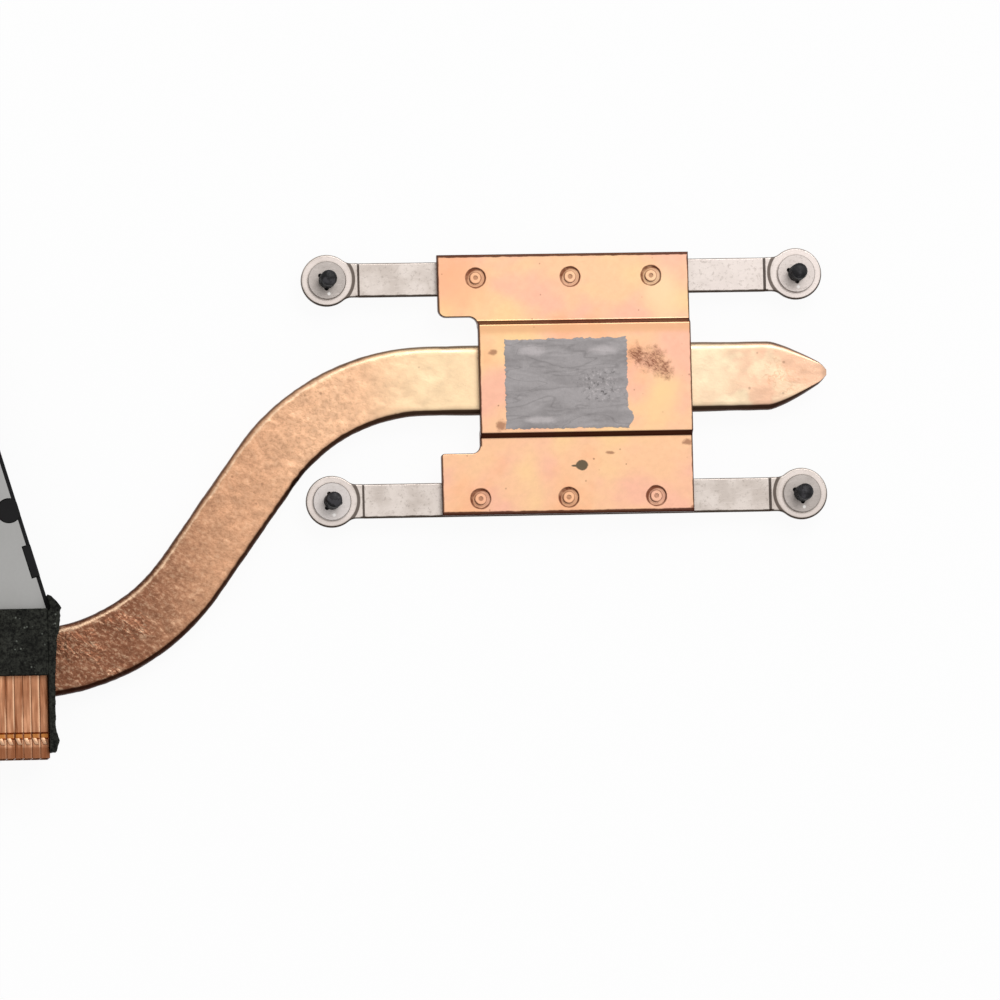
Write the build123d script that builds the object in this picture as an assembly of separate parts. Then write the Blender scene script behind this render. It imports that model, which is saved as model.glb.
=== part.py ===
from build123d import *
import math
import os

os.makedirs("parts", exist_ok=True)

# Laptop cooling module: cold plate, heat pipe, fin stack and blower fan.
# Origin: centre of the four captive screws, on the face that touches the processor.
# +Z points away from that face towards the motherboard, +X along the cold end of the pipe.
# All sizes are in millimetres.

# Cold plate, one copper sheet with a raised centre block between two wings
plate_t = 1.0
step_h = 0.8
step_run = 0.45
bend_r = 0.3
plate_roll_r = 0.15
block_w = 13.1
block_left = -10.4
plate_left = -15.1
plate_right = 15.2
plate_top = 16.05
plate_bottom = -15.2
upper_tab_w = 7.5
lower_tab_w = 7.4
tab_corner_r = 1.0
tab_outer_r_low = 0.4

# Thermal paste, a smeared patch set in from the edges of the raised block
paste_t = 0.15
paste_l = 15.2
paste_from_left = 3.0
paste_from_top = 1.65
paste_from_bottom = 0.4
paste_bulge = 0.6
paste_corner_cut = 1.2
paste_corner_run = 1.8
paste_corner_r = 0.35

# Clinched joints between the plate and the two spring bars
clinch_d = 2.45
clinch_boss_d = 1.4
clinch_dimple_d = 0.6
clinch_depth = 0.35
clinch_pin_d = 1.9
clinch_head_d = 2.6
clinch_head_t = 0.3
clinch_side_left = -10.5
clinch_side_right = 10.65
clinch_mid_upper = 0.9
clinch_mid_lower = 0.1

# Spring bars with a screw eye at each end
screw_span_x = 56.6
screw_span_y = 26.5
bar_w = 4.1
bar_t = 0.6
bar_roll_r = 0.2
eye_d = 6.2
eye_lift = 0.3
eye_neck = 3.65
eye_neck_r = 1.6
eye_hole_d = 2.5

# Captive screws and the washers that keep them
thread_d = 2.0
shank_d = 1.6
screw_head_d = 3.8
screw_head_t = 0.9
screw_tip_over_washer = 3.0
screw_point = 0.35
screw_play = 1.0
cross_w = 0.5
cross_l = 2.2
cross_depth = 0.5
washer_d = 4.6
washer_t = 0.4
washer_bore_gap = 0.05
washer_notch_d = 0.54
washer_notch_reach = 0.98
washer_notches = 3
seat_gap = 0.02

# Heat pipe, flattened round tube with a tapered, welded end
pipe_w = 8.4
pipe_t = 2.0
pipe_y = 1.02
pipe_edge_r = 0.9
pipe_bend_x = -16.5
pipe_bend_r = 24.2
pipe_bend_angle = 54.2
pipe_taper_x = 24.7
pipe_taper_l = 7.0
pipe_tip_w = 2.7
pipe_tip_r = 1.2
pipe_tip_shift = 0.15
pipe_shoulder_l = 2.8
pipe_shoulder_w = 3.1
pipe_hidden_end = 4.0

# Fin stack, stamped copper sheets hooked into each other
fin_pitch = 1.0
fin_t = 0.2
fin_front = 1.5
fin_rear = 7.0
fin_pipe_gap = 0.2
fin_inset = 0.5
fin_seam_w = 0.1
fin_seam_depth = 0.1
lock_setback = 2.2
lock_w = 0.6
lock_l = 0.9
lock_tab_w = 0.4
lock_tab_l = 0.8
lock_tab_t = 0.15

# Blower housing, a moulded shell with a round inlet and an open outlet
fan_h = 7.6
fan_top_z = 3.0
fan_x = -97.0
fan_y = 3.5
outlet_y = -26.0
wall_t = 1.0
floor_t = 0.8
impeller_gap = 1.4
scroll_growth = 4.0
side_wall_lean = 16.4
inlet_r = 16.5
inlet_lip_w = 0.8
inlet_lip_h = 0.3
ear_r = 3.1
ear_t = 1.5
ear_hole_d = 2.4
ear_reach = 2.6
ear_top_y = 24.6
ear_low_y = -17.0
boss_d = 2.8
boss_inset = 1.2
boss_rise = 0.35
side_boss_from_outlet = 12.9
left_boss_y = -12.0
left_boss_angle = 152.0
hook_l = 3.8
hook_w = 0.95
hook_from_outlet = 4.5
wire_notch_w = 3.2
wire_notch_h = 1.6
wire_notch_y = -5.0

# Metal plate that closes the blower and carries the motor
cover_t = 0.5
cover_inset = 0.5
cover_gap = 0.1
vent_r_in = 12.4
vent_r_out = 18.8
vent_count = 3
vent_spoke = 26.0
vent_corner_r = 0.8

# Impeller
impeller_r = 22.6
impeller_lift = 1.4
blade_h = 4.6
blade_t = 0.5
blade_count = 37
blade_sweep = 24.0
blade_bow = 2.2
tip_ring_w = 0.8
tip_ring_h = 0.7
hub_r = 11.2
hub_wall = 0.6
hub_face_h = 0.9
hub_face_t = 0.7
hub_rim_h = 5.7

# Motor
yoke_t = 0.4
yoke_gap = 0.02
magnet_t = 0.95
magnet_h = 3.0
magnet_setback = 0.25
air_gap = 0.35
core_t = 1.6
core_h = 3.2
core_ring_w = 1.2
pole_count = 6
pole_w = 1.6
shoe_t = 0.9
shoe_angle = 46.0
insulator_t = 0.2
coil_t = 0.75
coil_gap = 0.15
shaft_r = 0.75
shaft_gap = 0.03
shaft_in_hub = 0.4
sleeve_r = 2.2
sleeve_l = 3.6
sleeve_chamfer = 0.2
tube_wall = 0.7
tube_l = 4.4
thrust_pad_t = 0.2
clip_t = 0.2
clip_r = 1.6
clip_groove = 0.12
clip_room = 0.5
board_t = 0.6
board_r = 9.4
board_tube_gap = 0.1
chip_l = 2.4
chip_w = 2.0
chip_t = 0.45
chip_r = 6.6

# Foam strips that seal the outlet
foam_t = 1.2
foam_w = 8.05
foam_over_fan = 0.45
side_foam_low = 0.6
side_foam_up = 2.0
side_foam_top_t = 0.9
side_foam_end_t = 0.84

# Margin round a place where vertices are picked
pick_margin = 0.01

# Levels and places that follow from the sizes above
block_top = -paste_t
block_under = block_top - plate_t
wing_top = block_top - step_h
wing_under = wing_top - plate_t
eye_top = wing_under + eye_lift
eye_under = eye_top - bar_t
pipe_top = block_under
pipe_under = pipe_top - pipe_t
table_z = fan_top_z - fan_h
cover_under = fan_top_z - cover_t
block_y_low = pipe_y - block_w / 2
block_y_high = pipe_y + block_w / 2
pipe_tip_x = pipe_taper_x + pipe_taper_l
notch_high = outlet_y - fin_front
notch_low = notch_high - 2 * fin_pipe_gap - pipe_w
pipe_fin_y = (notch_low + notch_high) / 2
fin_end_y = notch_low - fin_rear
fin_top = fan_top_z
fin_under = pipe_under
lean = math.radians(side_wall_lean)
scroll_r_near = impeller_r + impeller_gap + wall_t
scroll_r_far = scroll_r_near + scroll_growth
scroll_far_y = fan_y - scroll_growth
outlet_left = fan_x - scroll_r_far
wall_touch_x = fan_x + scroll_r_near * math.cos(lean)
wall_touch_y = fan_y + scroll_r_near * math.sin(lean)
outlet_right = wall_touch_x + (wall_touch_y - outlet_y) * math.tan(lean)
fin_right = outlet_right - fin_inset
fin_count = int((outlet_right - outlet_left) / fin_pitch)
fin_left = fin_right - fin_count * fin_pitch
tube_out = sleeve_r + tube_wall


def slab(face, z_low, z_high):
    """Plan face turned into a solid between two levels."""
    return extrude(Pos(0, 0, z_low) * face, z_high - z_low)


def disc(x, y, r, z_low, z_high):
    """Upright round solid between two levels."""
    return slab(Pos(x, y) * Circle(r), z_low, z_high)


def ring(x, y, r_in, r_out, z_low, z_high):
    """Upright round tube between two levels."""
    return slab(Pos(x, y) * (Circle(r_out) - Circle(r_in)), z_low, z_high)


def block(x_low, x_high, y_low, y_high, z_low, z_high):
    """Upright box between its six limits."""
    size_x = x_high - x_low
    size_y = y_high - y_low
    face = Pos((x_low + x_high) / 2, (y_low + y_high) / 2) * Rectangle(size_x, size_y)
    return slab(face, z_low, z_high)


def rolled(sheet, roll_r):
    """Punched sheet with the rolled-over edge that the die leaves round its top skin."""
    sides = sheet.faces().filter_by(lambda face: abs(face.normal_at().Z) < pick_margin)
    skin = sheet.faces().filter_by(lambda face: face.normal_at().Z > pick_margin)
    return fillet(sides.edges() & skin.edges(), roll_r)


def clinch_centres(sign):
    """Centres of the three joints of one wing: +1 is the upper wing, -1 the lower one."""
    middle = clinch_mid_upper if sign > 0 else clinch_mid_lower
    row_y = sign * screw_span_y / 2
    return [(x, row_y) for x in (clinch_side_left, middle, clinch_side_right)]


# Cold plate
def cpu_plate():
    """Bent copper sheet: hat section, trimmed outline, six clinched joints."""
    slope = math.atan2(step_h, step_run)
    under_shift = plate_t * math.tan(slope / 2)
    low, high = block_y_low, block_y_high
    run = step_run
    section = [
        (plate_bottom, wing_top), (low - run, wing_top), (low, block_top),
        (high, block_top), (high + run, wing_top), (plate_top, wing_top),
        (plate_top, wing_under), (high + run - under_shift, wing_under),
        (high - under_shift, block_under), (low + under_shift, block_under),
        (low - run + under_shift, wing_under), (plate_bottom, wing_under),
    ]
    face = make_face(Polyline(*section, close=True))
    bends = face.vertices().filter_by_position(Axis.X, low - run - pick_margin, high + run + pick_margin)
    face = fillet(bends, bend_r)
    length = plate_right - plate_left
    sheet = extrude(Plane.YZ.offset(plate_left) * face, length)
    outline = [
        (plate_left, plate_bottom), (plate_right, plate_bottom), (plate_right, plate_top),
        (plate_left, plate_top), (plate_left, plate_top - upper_tab_w),
        (block_left, plate_top - upper_tab_w), (block_left, plate_bottom + lower_tab_w),
        (plate_left, plate_bottom + lower_tab_w),
    ]
    plan = make_face(Polyline(*outline, close=True))
    tab_y = (plate_bottom + lower_tab_w, plate_top - upper_tab_w)
    tab_corners = plan.vertices().filter_by_position(
        Axis.Y, tab_y[0] - pick_margin, tab_y[1] + pick_margin)
    sharp_corner = tab_corners.sort_by(Axis.Y)[:2].sort_by(Axis.X)[0]
    plan = fillet([corner for corner in tab_corners if corner != sharp_corner], tab_corner_r)
    plan = fillet(plan.vertices().sort_by_distance((plate_left, tab_y[0]))[0], tab_outer_r_low)
    sheet = rolled(sheet & slab(plan, wing_under, block_top), plate_roll_r)
    for sign in (1, -1):
        for x, y in clinch_centres(sign):
            groove = ring(x, y, clinch_boss_d / 2, clinch_d / 2, wing_top - clinch_depth, wing_top)
            dimple = disc(x, y, clinch_dimple_d / 2, wing_top - clinch_depth / 2, wing_top)
            pin = disc(x, y, clinch_pin_d / 2, wing_under - bar_t, wing_under)
            head_z = wing_under - bar_t
            head = disc(x, y, clinch_head_d / 2, head_z - clinch_head_t, head_z)
            head = chamfer(head.faces().sort_by(Axis.Z)[0].edges(), clinch_head_t / 2)
            sheet = sheet - groove - dimple + pin + head
    return sheet


def thermal_paste():
    """Patch of grey paste on the raised block, its top face is the contact plane."""
    left = block_left + paste_from_left
    right = left + paste_l
    high = block_y_high - paste_from_top
    low = block_y_low + paste_from_bottom
    cut = paste_corner_cut
    run = paste_corner_run
    outline = [
        (left, high), (right, high), (right, low + run), (right + paste_bulge, low + cut),
        (right + paste_bulge / 2, low + cut / 3), (left + run, low), (left, low + cut),
    ]
    face = make_face(Polyline(*outline, close=True))
    face = fillet(face.vertices(), paste_corner_r)
    return slab(face, block_top, block_top + paste_t)


# Spring bars
def spring_bar(sign):
    """Flat steel bar with a raised screw eye at each end."""
    y = sign * screw_span_y / 2
    half = screw_span_x / 2
    plan = Pos(0, y) * Rectangle(screw_span_x, bar_w)
    plan += [Pos(side * half, y) * Circle(eye_d / 2) for side in (-1, 1)]
    neck_x = half - eye_d / 2
    necks = plan.vertices().filter_by_position(Axis.X, -half + pick_margin, -neck_x + eye_d / 2)
    necks += plan.vertices().filter_by_position(Axis.X, neck_x - eye_d / 2, half - pick_margin)
    plan = fillet(necks, eye_neck_r)
    end = half + eye_d
    outer = half - eye_neck
    inner = outer - eye_lift
    profile = [
        (-end, eye_top), (-outer, eye_top), (-inner, wing_under), (inner, wing_under),
        (outer, eye_top), (end, eye_top), (end, eye_under), (outer, eye_under),
        (inner, wing_under - bar_t), (-inner, wing_under - bar_t),
        (-outer, eye_under), (-end, eye_under),
    ]
    side_face = make_face(Polyline(*profile, close=True))
    strip = extrude(Plane.XZ.offset(-y - eye_d) * side_face, 2 * eye_d)
    low = eye_under - eye_lift
    bar = rolled(slab(plan, low, eye_top) & strip, bar_roll_r)
    for side in (-1, 1):
        bar -= disc(side * half, y, eye_hole_d / 2, low, eye_top)
    for pin_x, pin_y in clinch_centres(sign):
        bar -= disc(pin_x, pin_y, clinch_pin_d / 2, low, eye_top)
    return bar


# Captive screws
def captive_screw(x, y):
    """Screw with a thin shank in its eye, head on the far side, thread towards the motherboard."""
    head_top = eye_under - screw_play
    thread_low = eye_top + 2 * seat_gap + washer_t
    tip = eye_top + seat_gap + washer_t + screw_tip_over_washer
    head = disc(x, y, screw_head_d / 2, head_top - screw_head_t, head_top)
    head = fillet(head.faces().sort_by(Axis.Z)[0].edges(), screw_head_t / 3)
    shank = disc(x, y, shank_d / 2, head_top, thread_low)
    thread = disc(x, y, thread_d / 2, thread_low, tip)
    thread = chamfer(thread.faces().sort_by(Axis.Z)[-1].edges(), screw_point)
    arms = Rectangle(cross_l, cross_w) + Rectangle(cross_w, cross_l)
    head_under = head_top - screw_head_t
    cross = slab(Pos(x, y) * arms, head_under, head_under + cross_depth)
    return head + shank + thread - cross


def retaining_washer(x, y, turn):
    """Thin washer with three relief notches round its bore."""
    low = eye_top + seat_gap
    bore_r = shank_d / 2 + washer_bore_gap
    face = Circle(washer_d / 2) - Circle(bore_r)
    notch = Circle(washer_notch_d / 2)
    face -= PolarLocations(washer_notch_reach, washer_notches, start_angle=turn) * notch
    washer = slab(Pos(x, y) * face, low, low + washer_t)
    rim = washer.edges().filter_by(GeomType.CIRCLE).group_by(SortBy.RADIUS)[-1]
    return chamfer(rim.group_by(Axis.Z)[-1], washer_t / 4)


# Heat pipe
def heat_pipe():
    """Flattened tube: straight over the plate, an S bend, straight under the fins."""
    half = pipe_w / 2
    turn = math.radians(pipe_bend_angle)
    fall = 2 * pipe_bend_r * (1 - math.cos(turn))
    run = (pipe_y - pipe_fin_y - fall) / math.sin(turn)
    first = (pipe_bend_x, pipe_y - pipe_bend_r)
    edge_x = pipe_bend_x - pipe_bend_r * math.sin(turn) - run * math.cos(turn)
    second = (edge_x - pipe_bend_r * math.sin(turn), pipe_fin_y + pipe_bend_r)
    hidden_x = fin_left + pipe_hidden_end
    nose_high = pipe_y + pipe_tip_w / 2 - pipe_tip_shift
    nose_low = nose_high - pipe_tip_w
    belly = (pipe_tip_x - pipe_shoulder_l, pipe_y - pipe_shoulder_w)
    lines = Curve()
    for side in (1, -1):
        start = (pipe_taper_x, pipe_y + side * half)
        lines += Line(start, (pipe_bend_x, pipe_y + side * half))
        outer = pipe_bend_r + side * half
        inner = pipe_bend_r - side * half
        bend_a = CenterArc(first, outer, 90, pipe_bend_angle)
        bend_b = CenterArc(second, inner, -90, pipe_bend_angle)
        lines += bend_a
        lines += Line(bend_a @ 1, bend_b @ 1)
        lines += bend_b
        lines += Line(bend_b @ 0, (hidden_x, pipe_fin_y + side * half))
    lines += ThreePointArc(
        (hidden_x, pipe_fin_y + half), (hidden_x - half / 2, pipe_fin_y),
        (hidden_x, pipe_fin_y - half))
    lines += Polyline(
        (pipe_taper_x, pipe_y + half), (pipe_tip_x, nose_high), (pipe_tip_x, nose_low),
        belly, (pipe_taper_x, pipe_y - half))
    plan = make_face(lines.edges())
    nose = plan.vertices().filter_by_position(Axis.X, pipe_tip_x - pick_margin, pipe_tip_x + pick_margin)
    plan = fillet(nose, pipe_tip_r)
    ends = plan.vertices().filter_by_position(Axis.X, hidden_x - pick_margin, hidden_x + pick_margin)
    plan = fillet(ends, pipe_tip_r)
    shoulder = plan.vertices().filter_by_position(
        Axis.X, pipe_taper_x - pick_margin, belly[0] + pick_margin)
    plan = fillet(shoulder, 2 * pipe_tip_r)
    pipe = slab(plan, pipe_under, pipe_top)
    rims = pipe.faces().sort_by(Axis.Z)[0].edges() + pipe.faces().sort_by(Axis.Z)[-1].edges()
    return fillet(rims, pipe_edge_r)


# Fin stack
def fin_stack():
    """Row of folded fins: webs across the air path, flanges that butt and hook together."""
    profile = [
        (fin_end_y, fin_under), (notch_low, fin_under), (notch_low, pipe_top),
        (notch_high, pipe_top), (notch_high, fin_under), (outlet_y, fin_under),
        (outlet_y, fin_top), (fin_end_y, fin_top),
    ]
    web_face = make_face(Polyline(*profile, close=True))
    stack = block(fin_left, fin_right, fin_end_y, outlet_y, fin_top - fin_t, fin_top)
    stack += block(fin_left, fin_right, fin_end_y, notch_low, fin_under, fin_under + fin_t)
    stack += block(fin_left, fin_right, notch_low, notch_high, pipe_top, pipe_top + fin_t)
    stack += block(fin_left, fin_right, notch_high, outlet_y, fin_under, fin_under + fin_t)
    webs = [
        extrude(Plane.YZ.offset(fin_right - fin_t - i * fin_pitch) * web_face, fin_t)
        for i in range(fin_count)
    ]
    stack += webs
    lock_y = fin_end_y + lock_setback
    cuts = []
    tabs = []
    for i in range(1, fin_count):
        x = fin_right - i * fin_pitch
        seam_low = fin_top - fin_seam_depth
        cuts.append(block(x - fin_seam_w, x, fin_end_y, outlet_y, seam_low, fin_top))
    for i in range(fin_count):
        x = fin_right - fin_t - i * fin_pitch
        window_low = fin_top - fin_t
        x_low = x - (fin_pitch - fin_t + lock_w) / 2
        cuts.append(block(x_low, x_low + lock_w, lock_y, lock_y + lock_l, window_low, fin_top))
        tab_x = x_low + (lock_w - lock_tab_w) / 2
        tab_y = lock_y - lock_tab_l
        tabs.append(block(tab_x, tab_x + lock_tab_w, tab_y, lock_y, fin_top, fin_top + lock_tab_t))
    return stack - cuts + tabs


# Blower
def scroll_lines(inset):
    """Corners and arcs of the blower outline, moved in from the outer wall by a distance."""
    near = scroll_r_near - inset
    far = scroll_r_far - inset
    touch = (fan_x + near * math.cos(lean), fan_y + near * math.sin(lean))
    foot = (outlet_right - inset / math.cos(lean), outlet_y)
    left_x = fan_x - far
    lines = Line(foot, touch)
    lines += CenterArc((fan_x, fan_y), near, side_wall_lean, 90 - side_wall_lean)
    lines += CenterArc((fan_x, scroll_far_y), far, 90, 90)
    lines += Line((left_x, scroll_far_y), (left_x, outlet_y))
    lines += Line((left_x, outlet_y), foot)
    return lines


def scroll_face(inset):
    """Plan face inside the blower outline."""
    return make_face(scroll_lines(inset).edges())


def side_wall_point(from_outlet, inset):
    """Point beside the leaning wall, by its distance from the outlet and from the wall."""
    x = outlet_right - from_outlet * math.sin(lean) - inset * math.cos(lean)
    y = outlet_y + from_outlet * math.cos(lean) - inset * math.sin(lean)
    return x, y


def boss_centres():
    """Centres of the round posts that the cover plate is staked on."""
    reach = scroll_r_far - boss_inset
    angle = math.radians(left_boss_angle)
    return [
        side_wall_point(side_boss_from_outlet, boss_inset),
        (fan_x + reach * math.cos(angle), scroll_far_y + reach * math.sin(angle)),
        (fan_x - reach, left_boss_y),
    ]


def ear_centres():
    """Centre and direction of each fixing ear outside the wall, two of them level."""
    near = scroll_r_near + ear_reach
    far = scroll_r_far + ear_reach
    right = math.asin((ear_top_y - fan_y) / near)
    left = math.pi - math.asin((ear_top_y - scroll_far_y) / far)
    return [
        (fan_x + near * math.cos(right), ear_top_y, math.degrees(right)),
        (fan_x + far * math.cos(left), ear_top_y, math.degrees(left)),
        (fan_x - far, ear_low_y, 180.0),
    ]


def hook_face(grow):
    """Plan face of the snap hook on the leaning wall, with an allowance all round."""
    x, y = side_wall_point(hook_from_outlet + hook_l / 2, hook_w / 2)
    return Pos(x, y) * Rot(0, 0, side_wall_lean) * Rectangle(hook_w + 2 * grow, hook_l + 2 * grow)


def fan_housing():
    """Moulded scroll: floor with a lipped inlet, wall, ears, posts and snap hook."""
    floor_top = table_z + floor_t
    shell = slab(scroll_face(0), table_z, cover_under)
    reach_face = scroll_face(0)
    for x, y, angle in ear_centres():
        web = Rot(0, 0, angle) * Pos(-ear_reach, 0) * Rectangle(2 * ear_reach, 2 * ear_r)
        shell += slab(Pos(x, y) * (web + Circle(ear_r)), cover_under - ear_t, cover_under)
        reach_face += Pos(x, y) * Circle(2 * ear_r)
    shell -= slab(scroll_face(wall_t), floor_top, cover_under)
    shell -= disc(fan_x, fan_y, inlet_r, table_z, floor_top)
    lip_r = inlet_r + inlet_lip_w
    shell += ring(fan_x, fan_y, inlet_r, lip_r, floor_top, floor_top + inlet_lip_h)
    for x, y in boss_centres():
        shell += disc(x, y, boss_d / 2, floor_top, cover_under + boss_rise)
    shell &= slab(reach_face, table_z, fan_top_z)
    shell += slab(hook_face(0), cover_under, fan_top_z)
    for x, y, _ in ear_centres():
        shell -= disc(x, y, ear_hole_d / 2, cover_under - ear_t, cover_under)
    notch_y = wire_notch_y - wire_notch_w / 2
    shell -= block(outlet_left, outlet_left + wall_t, notch_y, notch_y + wire_notch_w,
                   cover_under - wire_notch_h, cover_under)
    return shell


def fan_cover():
    """Sheet metal cover: arc inlets between three spokes, notches for posts and hook."""
    face = scroll_face(cover_inset)
    for x, y in boss_centres():
        face -= Pos(x, y) * Circle(boss_d / 2 + cover_gap)
    face -= hook_face(cover_gap)
    sweep_angle = 360 / vent_count - vent_spoke
    for i in range(vent_count):
        start = 90 + i * 360 / vent_count + vent_spoke / 2
        outer = CenterArc((0, 0), vent_r_out, start, sweep_angle)
        inner = CenterArc((0, 0), vent_r_in, start, sweep_angle)
        vent = make_face([outer, inner, Line(outer @ 0, inner @ 0), Line(outer @ 1, inner @ 1)])
        vent = fillet(vent.vertices(), vent_corner_r)
        face -= Pos(fan_x, fan_y) * vent
    face -= Pos(fan_x, fan_y) * Circle(tube_out)
    return slab(face, cover_under, fan_top_z)


# Impeller
def impeller():
    """Moulded rotor: cup hub, thin swept blades, ring that ties the blade tips."""
    face_low = table_z + hub_face_h
    hub = disc(fan_x, fan_y, hub_r, face_low, table_z + hub_rim_h)
    hub = fillet(hub.faces().sort_by(Axis.Z)[0].edges(), hub_wall / 2)
    hub -= disc(fan_x, fan_y, hub_r - hub_wall, face_low + hub_face_t, table_z + hub_rim_h)
    bore_low = face_low + hub_face_t - shaft_in_hub
    hub -= disc(fan_x, fan_y, shaft_r, bore_low, face_low + hub_face_t)
    low = table_z + impeller_lift
    root_r = hub_r - hub_wall / 2
    tip_r = impeller_r - tip_ring_w / 2
    tip_angle = math.radians(blade_sweep)
    root = (root_r, 0)
    tip = (tip_r * math.cos(tip_angle), tip_r * math.sin(tip_angle))
    middle_r = (root_r + tip_r) / 2
    middle = (middle_r * math.cos(tip_angle / 2) + blade_bow * math.sin(tip_angle / 2),
              middle_r * math.sin(tip_angle / 2) - blade_bow * math.cos(tip_angle / 2))
    line = ThreePointArc(root, middle, tip)
    blade_face = trace(line, blade_t)
    blade = slab(blade_face, low, low + blade_h)
    blades = PolarLocations(0, blade_count) * blade
    tip_ring = ring(0, 0, impeller_r - tip_ring_w, impeller_r, low, low + tip_ring_h)
    keep = ring(0, 0, hub_r - hub_wall / 2, impeller_r, low, low + blade_h)
    fan = (tip_ring + blades) & keep
    return hub + Pos(fan_x, fan_y) * fan


def fan_parts():
    """Motor pieces round the shaft, from the hub face up to the cover plate."""
    inner_r = hub_r - hub_wall - yoke_gap
    hub_inside = table_z + hub_face_h + hub_face_t
    yoke_top = table_z + hub_rim_h - 2 * yoke_gap
    yoke = disc(fan_x, fan_y, inner_r, hub_inside, yoke_top)
    yoke -= disc(fan_x, fan_y, inner_r - yoke_t, hub_inside + yoke_t, yoke_top)
    yoke -= disc(fan_x, fan_y, shaft_r, hub_inside, hub_inside + yoke_t)
    magnet_out = inner_r - yoke_t
    magnet_in = magnet_out - magnet_t
    magnet_top = yoke_top - magnet_setback
    magnet = ring(fan_x, fan_y, magnet_in, magnet_out, magnet_top - magnet_h, magnet_top)
    pad_top = cover_under
    pad_low = pad_top - thrust_pad_t
    shaft_end = pad_low - seat_gap
    sleeve_top = pad_low - clip_room
    shaft = disc(fan_x, fan_y, shaft_r, hub_inside - shaft_in_hub, shaft_end)
    groove_low = sleeve_top + (clip_room - clip_t) / 2 - shaft_gap
    groove_high = groove_low + clip_t + 2 * shaft_gap
    shaft -= ring(fan_x, fan_y, shaft_r - clip_groove, shaft_r, groove_low, groove_high)
    clip_bore = shaft_r - clip_groove + shaft_gap
    clip = ring(fan_x, fan_y, clip_bore, clip_r, groove_low + shaft_gap, groove_high - shaft_gap)
    sleeve = ring(fan_x, fan_y, shaft_r + shaft_gap, sleeve_r, sleeve_top - sleeve_l, sleeve_top)
    sleeve_rims = sleeve.edges().filter_by(GeomType.CIRCLE).group_by(SortBy.RADIUS)[-1]
    sleeve = chamfer(sleeve_rims, sleeve_chamfer)
    tube = disc(fan_x, fan_y, tube_out, fan_top_z - tube_l - cover_t, fan_top_z)
    tube -= disc(fan_x, fan_y, sleeve_r, fan_top_z - tube_l - cover_t, pad_top)
    pad = disc(fan_x, fan_y, sleeve_r - shaft_gap, pad_low, pad_top)
    core_low = table_z + core_h
    core_r = magnet_in - air_gap
    ring_r = tube_out + core_ring_w
    star = Circle(ring_r)
    star += PolarLocations(core_r / 2, pole_count) * Rectangle(core_r, pole_w)
    shoe_ring = Circle(core_r) - Circle(core_r - shoe_t)
    gap_w = 2 * core_r * math.sin(math.radians(360 / pole_count - shoe_angle) / 2)
    half_pitch = 180 / pole_count
    gaps = PolarLocations(core_r, pole_count, start_angle=half_pitch) * Rectangle(4 * shoe_t, gap_w)
    outline = star & Circle(core_r)
    core_face = outline + (shoe_ring - gaps) - Circle(tube_out)
    core = slab(Pos(fan_x, fan_y) * core_face, core_low, core_low + core_t)
    sheet_face = (star & Circle(core_r - shoe_t)) - Circle(tube_out)
    insulators = [
        slab(Pos(fan_x, fan_y) * sheet_face, core_low - insulator_t, core_low),
        slab(Pos(fan_x, fan_y) * sheet_face, core_low + core_t, core_low + core_t + insulator_t),
    ]
    coil_in = ring_r + coil_gap
    coil_out = core_r - shoe_t - coil_gap
    coil_mid = (coil_in + coil_out) / 2
    coil_low = core_low - insulator_t
    coil_high = core_low + core_t + insulator_t
    outer_w = pole_w + 2 * coil_t
    winding = block(
        coil_in, coil_out, -outer_w / 2, outer_w / 2, coil_low - coil_t, coil_high + coil_t)
    winding = fillet(winding.edges().filter_by(Axis.X), coil_t / 2)
    winding -= block(coil_in, coil_out, -pole_w / 2, pole_w / 2, coil_low, coil_high)
    coils = [
        Pos(fan_x, fan_y) * Rot(0, 0, i * 360 / pole_count) * winding for i in range(pole_count)
    ]
    board_face = Circle(board_r) - Circle(tube_out + board_tube_gap)
    board = slab(Pos(fan_x, fan_y) * board_face, cover_under - board_t, cover_under)
    chip_low = cover_under - board_t - chip_t
    chip = slab(
        Pos(fan_x + chip_r, fan_y) * Rectangle(chip_w, chip_l), chip_low, cover_under - board_t)
    chip = chamfer(chip.faces().sort_by(Axis.Z)[0].edges(), chip_t / 4)
    named = {
        "rotor_yoke": yoke, "rotor_magnet": magnet, "fan_shaft": shaft, "shaft_clip": clip,
        "bearing_sleeve": sleeve, "bearing_tube": tube, "thrust_pad": pad,
        "stator_core": core, "stator_insulator_lower": insulators[0],
        "stator_insulator_upper": insulators[1], "motor_board": board, "driver_chip": chip,
    }
    for number, coil in enumerate(coils, start=1):
        named[f"stator_coil_{number}"] = coil
    return named


# Foam strips
def outlet_foam():
    """Soft strip over the joint between the blower and the fins."""
    y_high = outlet_y + foam_over_fan
    return block(fin_left, fin_right, y_high - foam_w, y_high, fan_top_z, fan_top_z + foam_t)


def side_foam():
    """Soft strip on the end of the fin stack, bent round onto the leaning wall."""
    foot = side_wall_point(0, 0)
    top = side_wall_point(side_foam_up / math.cos(lean), 0)
    low_y = fin_end_y + side_foam_low
    outer_x = foot[0] + foam_t
    outline = [
        (fin_right, low_y), (fin_right, outlet_y), foot, top,
        (top[0] + side_foam_top_t, top[1]), (outer_x, outlet_y - foam_t),
        (fin_right + foam_t, (low_y + outlet_y) / 2), (fin_right + side_foam_end_t, low_y),
    ]
    face = make_face(Polyline(*outline, close=True))
    return slab(face, pipe_top + seat_gap, fan_top_z + foam_t)


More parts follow.
